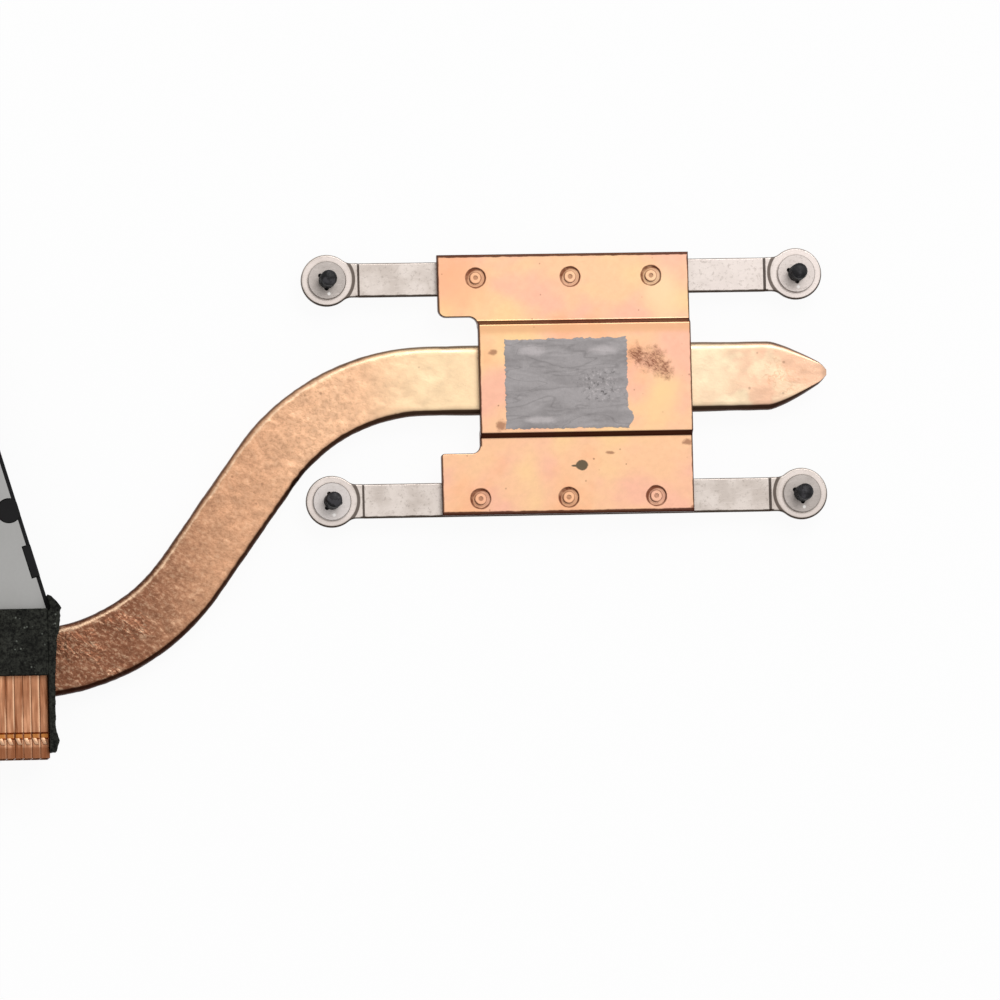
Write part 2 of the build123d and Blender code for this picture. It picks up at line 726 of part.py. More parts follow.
# Side in x, side in y and turn of the washer in degrees for each corner
corners = {"ul": (-1, 1, 25), "ur": (1, 1, 35), "ll": (-1, -1, -10), "lr": (1, -1, 33)}
nodes = {
    "cpu_plate": cpu_plate(),
    "thermal_paste": thermal_paste(),
    "spring_bar_upper": spring_bar(1),
    "spring_bar_lower": spring_bar(-1),
    "heat_pipe": heat_pipe(),
    "fin_stack": fin_stack(),
    "fan_housing": fan_housing(),
    "fan_cover": fan_cover(),
    "impeller": impeller(),
    "outlet_foam": outlet_foam(),
    "side_foam": side_foam(),
}
nodes.update(fan_parts())
for corner, (side_x, side_y, turn) in corners.items():
    x = side_x * screw_span_x / 2
    y = side_y * screw_span_y / 2
    nodes[f"captive_screw_{corner}"] = captive_screw(x, y)
    nodes[f"retaining_washer_{corner}"] = retaining_washer(x, y, turn)

for name, shape in nodes.items():
    export_step(shape, f"parts/{name}.step")
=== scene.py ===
"""Laptop cooling module: cold plate, flattened heat pipe, fins and blower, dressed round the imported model."""
import logging
import math
import sys
from dataclasses import dataclass, field
from enum import Enum
from typing import Callable, Iterable, Protocol, Sequence

import bmesh
import bpy
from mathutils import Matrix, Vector, noise


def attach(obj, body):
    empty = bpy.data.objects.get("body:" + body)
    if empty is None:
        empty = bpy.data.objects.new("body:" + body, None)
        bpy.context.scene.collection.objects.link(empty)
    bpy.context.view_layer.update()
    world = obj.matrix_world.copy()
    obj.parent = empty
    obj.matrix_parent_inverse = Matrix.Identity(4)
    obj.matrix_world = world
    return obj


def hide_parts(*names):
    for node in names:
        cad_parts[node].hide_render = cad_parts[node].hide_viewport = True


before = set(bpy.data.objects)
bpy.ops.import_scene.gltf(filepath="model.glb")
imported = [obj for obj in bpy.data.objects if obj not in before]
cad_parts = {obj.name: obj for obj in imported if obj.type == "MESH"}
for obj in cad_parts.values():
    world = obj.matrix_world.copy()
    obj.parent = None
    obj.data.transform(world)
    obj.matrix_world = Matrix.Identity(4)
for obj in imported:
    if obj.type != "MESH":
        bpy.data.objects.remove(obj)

LOG = logging.getLogger("cooling_module")
MM = 0.001
NEAR = 0.01  # Millimetres within which a point counts as on a plane.
Colour = tuple[float, float, float]
Place = tuple[float, float, float]
Socket = bpy.types.NodeSocket


def srgb(red: int, green: int, blue: int) -> Colour:
    """Linear colour of a display colour.

    Args:
        red: red from 0 to 255.
        green: green from 0 to 255.
        blue: blue from 0 to 255.

    Returns:
        The three linear values.
    """
    def linear(value: int) -> float:
        """Linear value of one channel."""
        share = value / 255
        return share / 12.92 if share <= 0.04045 else ((share + 0.055) / 1.055) ** 2.4
    return linear(red), linear(green), linear(blue)


class Corner(Enum):
    """The four captive screws, each with its axis in x and y, in millimetres."""

    UL = (-28.3, 13.25)
    UR = (28.3, 13.25)
    LL = (-28.3, -13.25)
    LR = (28.3, -13.25)


EYES: tuple[tuple[float, float], ...] = tuple(corner.value for corner in Corner)


class Relief(Enum):
    """Kinds of hand-worked relief, by the texture that drives them."""

    CLOUDS = "CLOUDS"
    NOISE = "DISTORTED_NOISE"


class Graph:
    """Shader nodes of one finish, with short calls for what finishes share. Lengths are in millimetres."""

    def __init__(self, name: str) -> None:
        """Start a material.

        Args:
            name: the finish's name.
        """
        self.material = bpy.data.materials.new(name)
        self.material.use_nodes = True
        self.tree = self.material.node_tree
        self.shader = self.tree.nodes["Principled BSDF"]
        coordinates = self.tree.nodes.new("ShaderNodeTexCoord")
        self.point = self.node("ShaderNodeVectorMath", {0: coordinates.outputs["Object"], 1: (1 / MM,) * 3},
                               operation="MULTIPLY").outputs[0]
        self.facing = self.node("ShaderNodeSeparateXYZ", {0: coordinates.outputs["Normal"]})
        self.parts = self.node("ShaderNodeSeparateXYZ", {0: self.point})

    def node(self, kind: str, inputs: dict | None = None, **settings: object) -> bpy.types.Node:
        """Add a node.

        Args:
            kind: the node's type name.
            inputs: what goes to each input, a socket or a value.
            settings: the node's own settings.

        Returns:
            The node.
        """
        made = self.tree.nodes.new(kind)
        for key, value in settings.items():
            setattr(made, key, value)
        for key, value in (inputs or {}).items():
            self.feed(made.inputs[key], value)
        return made

    def feed(self, target: Socket, value: object) -> None:
        """Link a socket or set a value.

        Args:
            target: the input.
            value: a socket, a number, a vector or a colour.
        """
        if isinstance(value, bpy.types.NodeSocket):
            self.tree.links.new(value, target)
        elif target.type == "RGBA" and len(value) == 3:
            target.default_value = (*value, 1.0)
        else:
            target.default_value = value

    def axis(self, letter: str) -> Socket:
        """Place along one axis, in millimetres."""
        return self.parts.outputs["XYZ".index(letter)]

    def math(self, operation: str, first: object, second: object = 0.0) -> Socket:
        """One sum on numbers.

        Args:
            operation: the operation's name.
            first: socket or number.
            second: socket or number.

        Returns:
            The result.
        """
        return self.node("ShaderNodeMath", {0: first, 1: second}, operation=operation).outputs[0]

    def times(self, first: object, second: object) -> Socket:
        """One socket or number times another."""
        return self.math("MULTIPLY", first, second)

    def plus(self, first: object, second: object) -> Socket:
        """One socket or number added to another."""
        return self.math("ADD", first, second)

    def minus(self, first: object, second: object) -> Socket:
        """One socket or number less another."""
        return self.math("SUBTRACT", first, second)

    def most(self, first: object, second: object) -> Socket:
        """The larger of two sockets."""
        return self.math("MAXIMUM", first, second)

    def band(self, value: Socket, start: float, end: float, low: float = 0.0, high: float = 1.0) -> Socket:
        """Smooth step.

        Args:
            value: what is measured.
            start: value where the step begins.
            end: value where it ends.
            low: result before the start.
            high: result after the end.

        Returns:
            The stepped value.
        """
        flip = start > end
        a, b, lo, hi = (end, start, high, low) if flip else (start, end, low, high)
        return self.node("ShaderNodeMapRange", {0: value, 1: a, 2: b, 3: lo, 4: hi},
                         interpolation_type="SMOOTHSTEP").outputs[0]

    def noise(self, scale: float, detail: float = 3.0, rough: float = 0.55, stretch: Place = (1, 1, 1),
              turn: float = 0.0, warp: float = 0.0, shift: Place = (0, 0, 0)) -> Socket:
        """Soft random pattern.

        Args:
            scale: features to the millimetre.
            detail: number of finer layers.
            rough: weight of the finer layers.
            stretch: scale along and across the pattern's own direction.
            turn: that direction, in degrees from X.
            warp: distortion.
            shift: move of the pattern, in millimetres.

        Returns:
            The pattern, about 0.5 on average.
        """
        place = self.node("ShaderNodeMapping", {"Vector": self.point, "Location": shift,
                                                "Scale": tuple(1 / share for share in stretch),
                                                "Rotation": (0, 0, math.radians(turn))},
                          vector_type="TEXTURE").outputs[0]
        return self.node("ShaderNodeTexNoise", {"Vector": place, "Scale": scale, "Detail": detail,
                                                "Roughness": rough, "Distortion": warp}).outputs[0]

    def cells(self, scale: float) -> Socket:
        """Distance to the nearest of scattered cells, with their number to the millimetre."""
        return self.node("ShaderNodeTexVoronoi", {"Vector": self.point, "Scale": scale}).outputs["Distance"]

    def mix(self, share: object, first: object, second: object, blend: str = "MIX") -> Socket:
        """Mix two colours.

        Args:
            share: share of the second colour.
            first: first colour or socket.
            second: second colour or socket.
            blend: how they mix.

        Returns:
            The mixed colour.
        """
        made = self.node("ShaderNodeMix", {}, data_type="RGBA", blend_type=blend, clamp_factor=True)
        for key, value in ((0, share), (6, first), (7, second)):
            self.feed(made.inputs[key], value)
        return made.outputs[2]

    def veil(self, colour: object, tone: object, where: object, strength: object = 1.0) -> Socket:
        """Lay a tone over a colour.

        Args:
            colour: what lies under it.
            tone: the tone.
            where: share of the tone at each place.
            strength: that share's factor.

        Returns:
            The new colour.
        """
        return self.mix(self.times(where, strength), colour, tone)

    def dim(self, colour: object, amount: object) -> Socket:
        """Colour times a number.

        Args:
            colour: colour or socket.
            amount: number or socket.

        Returns:
            The scaled colour.
        """
        tone = self.node("ShaderNodeCombineColor", {0: amount, 1: amount, 2: amount}).outputs[0]
        return self.mix(1.0, colour, tone, "MULTIPLY")

    def spot(self, x: float, y: float, size: Place | tuple[float, float], soft: float = 0.3,
             ragged: float = 0.3, scale: float = 1.2) -> Socket:
        """Ragged oval patch seen from above.

        Args:
            x: centre in x.
            y: centre in y.
            size: half width and half height.
            soft: width of its soft edge, as a share.
            ragged: how far its edge wanders, as a share.
            scale: scale of that wandering.

        Returns:
            1 inside the patch and 0 outside.
        """
        across = self.math("DIVIDE", self.minus(self.axis("X"), x), size[0])
        along = self.math("DIVIDE", self.minus(self.axis("Y"), y), size[1])
        reach = self.math("SQRT", self.plus(self.math("POWER", self.math("ABSOLUTE", across), 2.0),
                                            self.math("POWER", self.math("ABSOLUTE", along), 2.0)))
        wander = self.times(self.minus(self.noise(scale, 3.0), 0.5), 4 * ragged)
        return self.band(self.plus(reach, wander), 1.0, 1.0 - soft)

    def round_off(self, x: float, y: float) -> Socket:
        """Distance from an upright line.

        Args:
            x: the line in x.
            y: the line in y.

        Returns:
            The distance in millimetres.
        """
        across = self.math("POWER", self.math("ABSOLUTE", self.minus(self.axis("X"), x)), 2.0)
        along = self.math("POWER", self.math("ABSOLUTE", self.minus(self.axis("Y"), y)), 2.0)
        return self.math("SQRT", self.plus(across, along))

    def nearest(self, centres: Sequence[tuple[float, float]]) -> Socket:
        """Distance to the nearest of some upright lines.

        Args:
            centres: the lines in x and y.

        Returns:
            The distance in millimetres.
        """
        reach = self.round_off(*centres[0])
        for centre in centres[1:]:
            reach = self.math("MINIMUM", reach, self.round_off(*centre))
        return reach

    def line(self, value: Socket, at: float, half: float, strength: float, core: float = 0.2) -> Socket:
        """Soft line where a value crosses a level.

        Args:
            value: what is measured.
            at: the level.
            half: half width of the line.
            strength: height of the line.
            core: share of its width that has full strength.

        Returns:
            The line.
        """
        off = self.math("ABSOLUTE", self.minus(value, at))
        return self.times(self.band(off, half, half * core), strength)

    def edge_shade(self, low: float, high: float, sides: float, flat: float = 0.97,
                   steep: float = 0.72) -> Socket:
        """Shade of edges that turn away from the top, widest where they face down the picture.

        Args:
            low: shade of faces that look towards -Y.
            high: shade of faces that look towards +Y.
            sides: shade of faces that look along X.
            flat: upward share of the normal where the shade begins.
            steep: upward share of the normal where it is full.

        Returns:
            The shade, 0 on faces that look up or down.
        """
        upright = self.math("ABSOLUTE", self.facing.outputs[2])
        slant = self.band(upright, flat, steep)
        wide = self.band(upright, 0.5 + flat / 2, 0.3 + 0.7 * steep)
        down = self.band(self.facing.outputs[1], -0.05, -0.35)
        up = self.band(self.facing.outputs[1], 0.05, 0.4)
        rest = self.plus(sides, self.times(up, high - sides))
        rest = self.times(slant, rest)
        deep = self.times(wide, low)
        return self.plus(self.times(down, deep),
                         self.times(self.minus(1.0, down), rest))

    def frame_lines(self, lines: Sequence[tuple[str, float, float, float, float, float]]) -> Socket:
        """Painted shade lines along straight borders.

        Args:
            lines: axis, level, half width and strength of each, with its range on the other axis.

        Returns:
            The lines.
        """
        whole: Socket | None = None
        wander = self.times(self.minus(self.noise(0.9, 3.0), 0.5), 0.22)
        for axis, level, half, strength, start, end in lines:
            other = self.axis("Y" if axis == "X" else "X")
            one = self.line(self.plus(self.axis(axis), wander), level, half, strength, 0.65)
            one = self.times(one, self.band(other, start - 0.1, start + 0.1))
            one = self.times(one, self.band(other, end + 0.1, end - 0.1))
            whole = one if whole is None else self.most(whole, one)
        return whole

    def bump(self, height: Socket, depth: float, strength: float = 1.0,
             under: Socket | None = None) -> Socket:
        """Relief from a pattern.

        Args:
            height: the pattern.
            depth: its depth in millimetres.
            strength: share of the relief that shows.
            under: relief that this one lies on.

        Returns:
            The new normal.
        """
        made = self.node("ShaderNodeBump", {"Height": height, "Distance": depth * MM, "Strength": strength})
        if under is not None:
            self.feed(made.inputs["Normal"], under)
        return made.outputs[0]

    def finish(self, colour: object, rough: object, normal: Socket | None = None,
               metallic: float = 0.0, specular: float = 0.5) -> bpy.types.Material:
        """Feed the shader.

        Args:
            colour: base colour.
            rough: roughness.
            normal: relief.
            metallic: 1 for bare metal.
            specular: gloss level of what isn't metal.

        Returns:
            The finished material.
        """
        self.feed(self.shader.inputs["Base Color"], colour)
        self.feed(self.shader.inputs["Roughness"], rough)
        self.shader.inputs["Metallic"].default_value = metallic
        self.shader.inputs["Specular IOR Level"].default_value = specular
        if normal is not None:
            self.feed(self.shader.inputs["Normal"], normal)
        return self.material


class Finish(Protocol):
    """Anything that makes a material."""

    def make(self) -> bpy.types.Material:
        """Build the material."""


@dataclass(frozen=True)
class PlateCopper:
    """Rolled copper of the cold plate, with its stains, painted shade in its clinch rings, painted shade along
    its edges and a painted shade strip along the bend above the paste.
    """

    pink: Colour = srgb(252, 192, 164)
    bright: Colour = srgb(254, 202, 160)
    yellow: Colour = srgb(255, 214, 158)
    deep: Colour = srgb(248, 184, 142)
    pale: Colour = srgb(254, 218, 174)
    shade: Colour = srgb(232, 176, 130)
    brown: Colour = srgb(148, 98, 76)
    dark: Colour = srgb(66, 26, 16)
    clinch_shade_tone: Colour = srgb(116, 58, 36)
    residue: Colour = srgb(84, 80, 66)
    clinches: tuple[tuple[float, float], ...] = (
        (-10.5, 13.25), (0.9, 13.25), (10.65, 13.25), (-10.5, -13.25), (0.1, -13.25), (10.65, -13.25))

    def make(self) -> bpy.types.Material:
        """Build the material.

        Returns:
            The material.
        """
        g = Graph("copper_plate")
        colour = g.mix(g.band(g.noise(0.1, 3.0, 0.5, (1, 1.4, 1), 20), 0.4, 0.6), self.bright, self.pink)
        glow = g.band(g.noise(0.085, 2.0, 0.5, shift=(3, 1, 0)), 0.48, 0.66)
        colour = g.veil(colour, self.yellow, glow, 0.85)
        worn = g.band(g.noise(0.13, 3.0, 0.5, shift=(9, 4, 2)), 0.52, 0.7)
        colour = g.veil(colour, self.deep, worn, 0.6)
        colour = g.dim(colour, g.band(g.noise(1.4, 4.0, 0.65), 0.25, 0.75, 0.95, 1.03))
        # Painted shade in a strip along the bend above the paste.
        bend_shade_strip = g.times(g.band(g.axis("Y"), 6.0, 6.9), g.band(g.axis("Y"), 8.3, 7.9))
        colour = g.veil(colour, self.shade, bend_shade_strip, 0.75)
        for x, y, size, tone in ((-12.8, 12.4, (5.5, 5.0), self.deep), (12.0, 11.0, (3.4, 4.6), self.pale),
                                 (11.8, -1.0, (3.6, 5.5), self.yellow)):
            colour = g.veil(colour, tone, g.spot(x, y, size, 0.9, 0.2, 0.4), 0.7)
        # Painted shade in the clinch recesses.
        colour = g.mix(self.painted_clinch_shade(g), colour, self.clinch_shade_tone)
        colour = self.stains(g, colour)
        # Painted shade: dark lines along the plate's outline, then on its slanted and side faces.
        painted_border_shade = g.frame_lines((("Y", 16.05, 0.42, 0.92, -16, 16), ("Y", -15.2, 0.5, 0.95, -16, 16),
                                ("X", -15.1, 0.24, 0.75, 9, 16), ("X", -15.1, 0.24, 0.75, -16, -8),
                                ("X", -10.4, 0.24, 0.8, -7, 7.6), ("X", 15.2, 0.22, 0.75, -16, 16)))
        colour = g.mix(painted_border_shade, colour, self.dark)
        colour = g.mix(g.edge_shade(0.98, 0.92, 0.8, 0.98, 0.82), colour, self.dark)
        relief = g.bump(g.noise(0.8, 3.0, 0.6, (0.12, 9, 1), -4), 0.003, 0.4)
        relief = g.bump(g.noise(5.0, 3.0, 0.6), 0.003, 0.5, relief)
        return g.finish(colour, g.band(worn, 0.0, 1.0, 0.36, 0.46), relief, 1.0)

    def painted_clinch_shade(self, g: Graph) -> Socket:
        """Painted shade in the stepped rings of the clinches: their recess walls, the groove and the central
        dimple.

        Args:
            g: the graph.

        Returns:
            How much darker the copper is.
        """
        reach = g.nearest(self.clinches)
        ragged = g.times(g.minus(g.noise(1.6, 3.0), 0.5), 0.16)
        reach = g.plus(reach, ragged)
        marks = g.line(reach, 1.18, 0.16, 0.8)
        for at, half, strength in ((0.94, 0.09, 0.35), (0.7, 0.13, 0.62)):
            marks = g.most(marks, g.line(reach, at, half, strength))
        groove = g.times(g.band(reach, 1.22, 1.12), g.band(reach, 0.66, 0.74))
        marks = g.most(marks, g.times(groove, 0.22))
        marks = g.most(marks, g.times(g.band(reach, 0.33, 0.2), 0.5))
        # Painted shadow crescent on the upper-left side inside each ring.
        lit = g.nearest([(x + 0.2, y - 0.2) for x, y in self.clinches])
        crescent = g.times(g.band(reach, 1.26, 1.16), g.band(lit, 0.95, 1.2))
        marks = g.most(marks, g.times(crescent, 0.85))
        return g.times(marks, g.band(g.noise(0.9, 3.0), 0.3, 0.55, 0.7, 1.1))

    def stains(self, g: Graph, colour: Socket) -> Socket:
        """Smudges and residue on the copper.

        Args:
            g: the graph.
            colour: the copper's colour.

        Returns:
            The stained colour.
        """
        grain = g.band(g.noise(3.2, 4.0, 0.7, (1, 2, 1), -30), 0.42, 0.6)
        for x, y, size in ((8.5, 3.7, (1.3, 1.7)), (10.6, 2.9, (2.2, 2.2)), (12.1, 1.6, (1.1, 1.5))):
            smudge = g.times(g.spot(x, y, size, 0.8, 0.3, 1.4), g.plus(0.7, grain))
            colour = g.veil(colour, self.brown, smudge, 0.6)
        for x, y, size in ((14.6, -6.9, (0.9, 0.5)), (15.0, -14.7, (0.35, 0.35)), (5.2, -8.0, (0.7, 0.25)),
                           (-8.7, 4.2, (0.7, 0.45)), (-7.9, -4.6, (0.8, 0.9)), (3.2, -8.7, (0.16, 0.16)),
                           (7.1, -9.4, (0.13, 0.13)), (-3.8, 8.2, (0.12, 0.12)), (-8.2, -2.2, (0.13, 0.13))):
            colour = g.veil(colour, self.brown, g.spot(x, y, size, 0.6, 0.25, 2.4), 0.7)
        blob = g.most(g.spot(1.75, -9.45, (0.8, 0.72), 0.2, 0.1, 1.8),
                      g.spot(0.95, -9.5, (0.55, 0.14), 0.3, 0.12, 2.2))
        top = g.band(g.facing.outputs[2], 0.2, 0.6, 0.0, 0.92)
        colour = g.mix(g.times(blob, top), colour, self.residue)
        specks = g.times(g.band(g.cells(0.7), 0.11, 0.04), g.band(g.noise(0.35, 2.0), 0.5, 0.6))
        return g.mix(g.times(specks, 0.5), colour, self.brown)


@dataclass(frozen=True)
class PipeCopper:
    """Copper of the drawn and bent pipe: bright over the plate, browner and wrinkled towards the fins, with
    painted highlights on its grain, crease crests and upper edge and painted shade in its crease hollows and
    along its lower edge.
    """

    right: Colour = srgb(254, 228, 192)
    pink: Colour = srgb(248, 200, 168)
    plate: Colour = srgb(255, 222, 180)
    bend: Colour = srgb(248, 198, 158)
    middle: Colour = srgb(226, 172, 134)
    left: Colour = srgb(148, 99, 74)
    sheen: Colour = srgb(255, 220, 184)
    pit_and_crease_shade: Colour = srgb(104, 62, 44)
    dark: Colour = srgb(52, 24, 14)
    dents: tuple[tuple[float, float, tuple[float, float]], ...] = (
        (-58.6, -30.0, (4.6, 2.8)), (-53.4, -27.6, (4.0, 2.0)), (-54.6, -33.6, (1.6, 1.4)))

    def make(self) -> bpy.types.Material:
        """Build the material.

        Returns:
            The material.
        """
        g = Graph("copper_pipe")
        x = g.axis("X")
        patches = g.band(g.noise(0.22, 3.0, 0.5, shift=(5, 2, 0)), 0.46, 0.56)
        right = g.mix(g.times(patches, g.band(x, 18.0, 24.0, 0.3, 0.9)), self.right, self.pink)
        right = g.mix(g.band(x, 21.0, 26.0, 0.0, 0.45), right, self.pink)
        colour = g.mix(g.band(x, 10.0, 15.0), self.plate, right)
        for start, end, tone in ((-16.0, -26.0, self.bend), (-26.0, -40.0, self.middle),
                                 (-38.0, -54.0, self.left)):
            colour = g.mix(g.band(x, start, end), colour, tone)
        blotch = g.noise(0.55, 3.0, 0.55, (1, 1.3, 1), 30)
        colour = g.dim(colour, g.band(blotch, 0.3, 0.7, 0.93, 1.04))
        weld = g.times(g.spot(26.0, 1.0, (4.2, 3.0), 0.9, 0.4, 0.7),
                       g.line(g.noise(1.1, 3.0), 0.5, 0.05, 0.5))
        colour = g.mix(weld, colour, self.middle)
        bent = g.band(x, -17.0, -30.0)
        crushed = g.band(x, -44.0, -56.0, 0.05, 0.25)
        for at_x, at_y, size in self.dents:
            crushed = g.most(crushed, g.spot(at_x, at_y, size, 0.9, 0.4, 0.6))
        gritty = g.band(x, -40.0, -56.0, 1.0, 1.9)
        highlight_patches = g.band(g.noise(0.2, 2.0, shift=(2, 6, 0)), 0.42, 0.58)
        grain = g.noise(2.3, 4.0, 0.7, (0.85, 1.2, 1), -20, 0.3)
        creases = g.noise(0.9, 3.0, 0.55, (0.6, 1.5, 1), -42, 0.5)
        pits = g.times(g.band(grain, 0.54, 0.36), g.times(g.times(bent, gritty), 0.26))
        colour = g.mix(pits, colour, self.pit_and_crease_shade)
        # Painted shade in the hollows of the bend's creases.
        crease_shade = g.times(g.band(creases, 0.46, 0.36), g.times(bent, crushed))
        colour = g.veil(colour, self.pit_and_crease_shade, crease_shade, 0.65)
        # Painted highlights on the grain of the bent part.
        shine = g.times(g.band(grain, 0.5, 0.66), g.times(g.times(bent, gritty), 0.17))
        colour = g.mix(shine, colour, self.sheen)
        # Painted highlight on the crests of the creases, broken into patches.
        crest_highlight = g.times(g.band(creases, 0.55, 0.66), g.times(highlight_patches, crushed))
        colour = g.veil(colour, self.sheen, crest_highlight, 0.62)
        colour = g.veil(colour, self.pit_and_crease_shade, g.band(g.cells(0.5), 0.12, 0.05), 0.35)
        # Painted sheen along the pipe's upper rounded edge.
        upper = g.times(g.band(g.facing.outputs[1], 0.02, 0.16), g.band(g.facing.outputs[2], 0.86, 0.97))
        colour = g.mix(g.times(upper, g.band(grain, 0.35, 0.5, 0.3, 0.7)), colour, self.sheen)
        # Painted shade along the pipe's lower rounded edge, joined to the painted edge shade.
        under = g.times(g.band(g.facing.outputs[1], -0.04, -0.3), g.band(g.facing.outputs[2], 0.998, 0.93))
        shade = g.most(g.edge_shade(0.97, 0.8, 0.9, 0.9, 0.6), g.times(under, 0.95))
        colour = g.mix(shade, colour, self.dark)
        relief = g.bump(g.times(creases, g.times(bent, crushed)), 0.3, 0.7)
        relief = g.bump(grain, 0.03, 0.5, relief)
        return g.finish(colour, g.band(blotch, 0.3, 0.7, 0.34, 0.44), relief, 1.0)


@dataclass(frozen=True)
class FinCopper:
    """Thin copper sheet of the fins, streaked along their length, with painted highlights on the folds and hook
    tops and painted shade in the seams and on slanted faces.
    """

    light: Colour = srgb(226, 166, 128)
    base: Colour = srgb(186, 128, 94)
    deep: Colour = srgb(140, 84, 54)
    gold: Colour = srgb(206, 132, 58)
    bright: Colour = srgb(252, 206, 168)
    dark: Colour = srgb(72, 38, 24)
    right: float = -62.76
    pitch: float = 1.0

    def make(self) -> bpy.types.Material:
        """Build the material.

        Returns:
            The material.
        """
        g = Graph("copper_fins")
        streak = g.noise(1.9, 3.0, 0.6, (1, 0.07, 0.3))
        colour = g.mix(g.band(streak, 0.3, 0.5), self.deep, self.base)
        colour = g.mix(g.band(streak, 0.5, 0.68), colour, self.light)
        groove = g.times(g.band(g.axis("Y"), -41.25, -41.05), g.band(g.axis("Y"), -40.1, -40.3))
        groove = g.times(groove, g.band(g.facing.outputs[2], 0.2, 0.6))
        colour = g.mix(g.times(groove, g.band(g.axis("Z"), 2.9, 2.75, 0.0, 0.75)), colour, self.gold)
        colour = g.dim(colour, g.band(g.noise(0.5, 3.0), 0.3, 0.7, 0.88, 1.08))
        phase = g.math("FRACT", g.math("DIVIDE", g.minus(self.right, g.axis("X")), self.pitch))
        # Painted highlight along each fin's rounded fold.
        fold_highlight = g.times(g.line(phase, 0.2, 0.12, 0.7), g.band(streak, 0.4, 0.55))
        colour = g.mix(fold_highlight, colour, self.bright)
        # Painted shade in the seams between neighbouring flanges.
        seam_shade = g.times(g.line(phase, 0.03, 0.1, 0.6), g.band(g.noise(0.35, 2.0), 0.42, 0.56, 0.25, 1.0))
        colour = g.mix(seam_shade, colour, self.deep)
        # Painted highlight on the highest faces, the tops of the hooks.
        colour = g.veil(colour, self.bright, g.band(g.axis("Z"), 3.03, 3.09), 0.6)
        front = g.band(g.axis("Y"), -41.8, -42.2, 0.0, 0.75)
        colour = g.mix(front, colour, self.deep)
        # Painted shade on slanted and side faces.
        colour = g.mix(g.edge_shade(0.45, 0.2, 0.3, 0.6, 0.2), colour, self.dark)
        relief = g.bump(g.noise(3.0, 3.0, 0.6, (1, 0.15, 1)), 0.02, 0.6)
        return g.finish(colour, 0.4, relief, 1.0)


@dataclass(frozen=True)
class PlatedSteel:
    """Nickel-coloured plating of the bars and washers, with painted light on the upper right, painted highlight
    rings round the eyes, painted glints on the washers and painted shade along the edges.
    """

    name: str
    light: Colour = srgb(226, 215, 207)
    base: Colour = srgb(206, 194, 185)
    stain: Colour = srgb(158, 146, 137)
    # Lighter tone: real scratches, and the painted light and highlight rings of the bars.
    rim: Colour = srgb(236, 224, 218)
    dark: Colour = srgb(68, 54, 44)
    glint: Colour = srgb(250, 246, 242)
    line: float = 0.92
    rough: float = 0.4
    eyes: tuple[tuple[float, float], ...] = ()
    glints: tuple[tuple[float, float], ...] = ()

    def make(self) -> bpy.types.Material:
        """Build the material.

        Returns:
            The material.
        """
        g = Graph(self.name)
        cloud = g.noise(0.35, 3.0)
        colour = g.mix(g.band(cloud, 0.35, 0.65), self.base, self.light)
        # Painted light on the right-hand part of the upper bar.
        lit = g.times(g.band(g.axis("X"), 8.0, 20.0), g.band(g.axis("Y"), 5.0, 8.0, 0.0, 0.6))
        colour = g.mix(lit, colour, self.rim)
        specks = g.band(g.noise(2.4, 5.0, 0.75), 0.52, 0.68)
        colour = g.veil(colour, self.stain, specks, 0.5)
        scratch = g.band(g.noise(1.2, 2.0, 0.6, (0.5, 7, 1), 6), 0.6, 0.68)
        colour = g.veil(colour, self.rim, scratch, 0.3)
        if self.eyes:
            # Painted highlight ring round each eye.
            rim = g.line(g.nearest(self.eyes), 2.62, 0.36, 0.6)
            colour = g.mix(rim, colour, self.rim)
            # Painted shade on the lower rolled edge of each eye and along the bars' edges, strongest on their
            # lower edges.
            rolled = g.nearest([(x - 0.04, y + 0.15) for x, y in self.eyes])
            eye_edge_shade = g.times(g.band(rolled, 2.98, 3.12), g.band(rolled, 3.5, 3.4))
            edges = g.frame_lines((("Y", 11.2, 0.3, 0.9, -24.9, 24.9), ("Y", -15.3, 0.3, 0.9, -24.9, 24.9),
                                   ("Y", 15.3, 0.14, 0.4, -24.9, 24.9), ("Y", -11.2, 0.14, 0.4, -24.9, 24.9)))
            colour = g.mix(g.most(g.times(eye_edge_shade, 0.85), edges), colour, self.dark)
        if self.glints:
            spots = g.nearest([(x + 0.2, y - 1.62) for x, y in self.glints])
            colour = g.veil(colour, self.glint, g.band(spots, 0.26, 0.12), 0.9)
        shade = g.edge_shade(self.line, self.line * 0.5, self.line * 0.8)
        if self.eyes:
            shade = g.times(shade, g.band(g.nearest(self.eyes), 2.86, 2.98, 0.12, 1.0))
        colour = g.mix(shade, colour, self.dark)
        relief = g.bump(g.noise(1.6, 3.0, 0.6, (1, 8, 1), 8), 0.005, 0.5)
        relief = g.bump(g.noise(7.0, 3.0, 0.6), 0.005, 0.6, relief)
        return g.finish(colour, g.band(cloud, 0.3, 0.7, self.rough - 0.06, self.rough + 0.06), relief, 1.0)


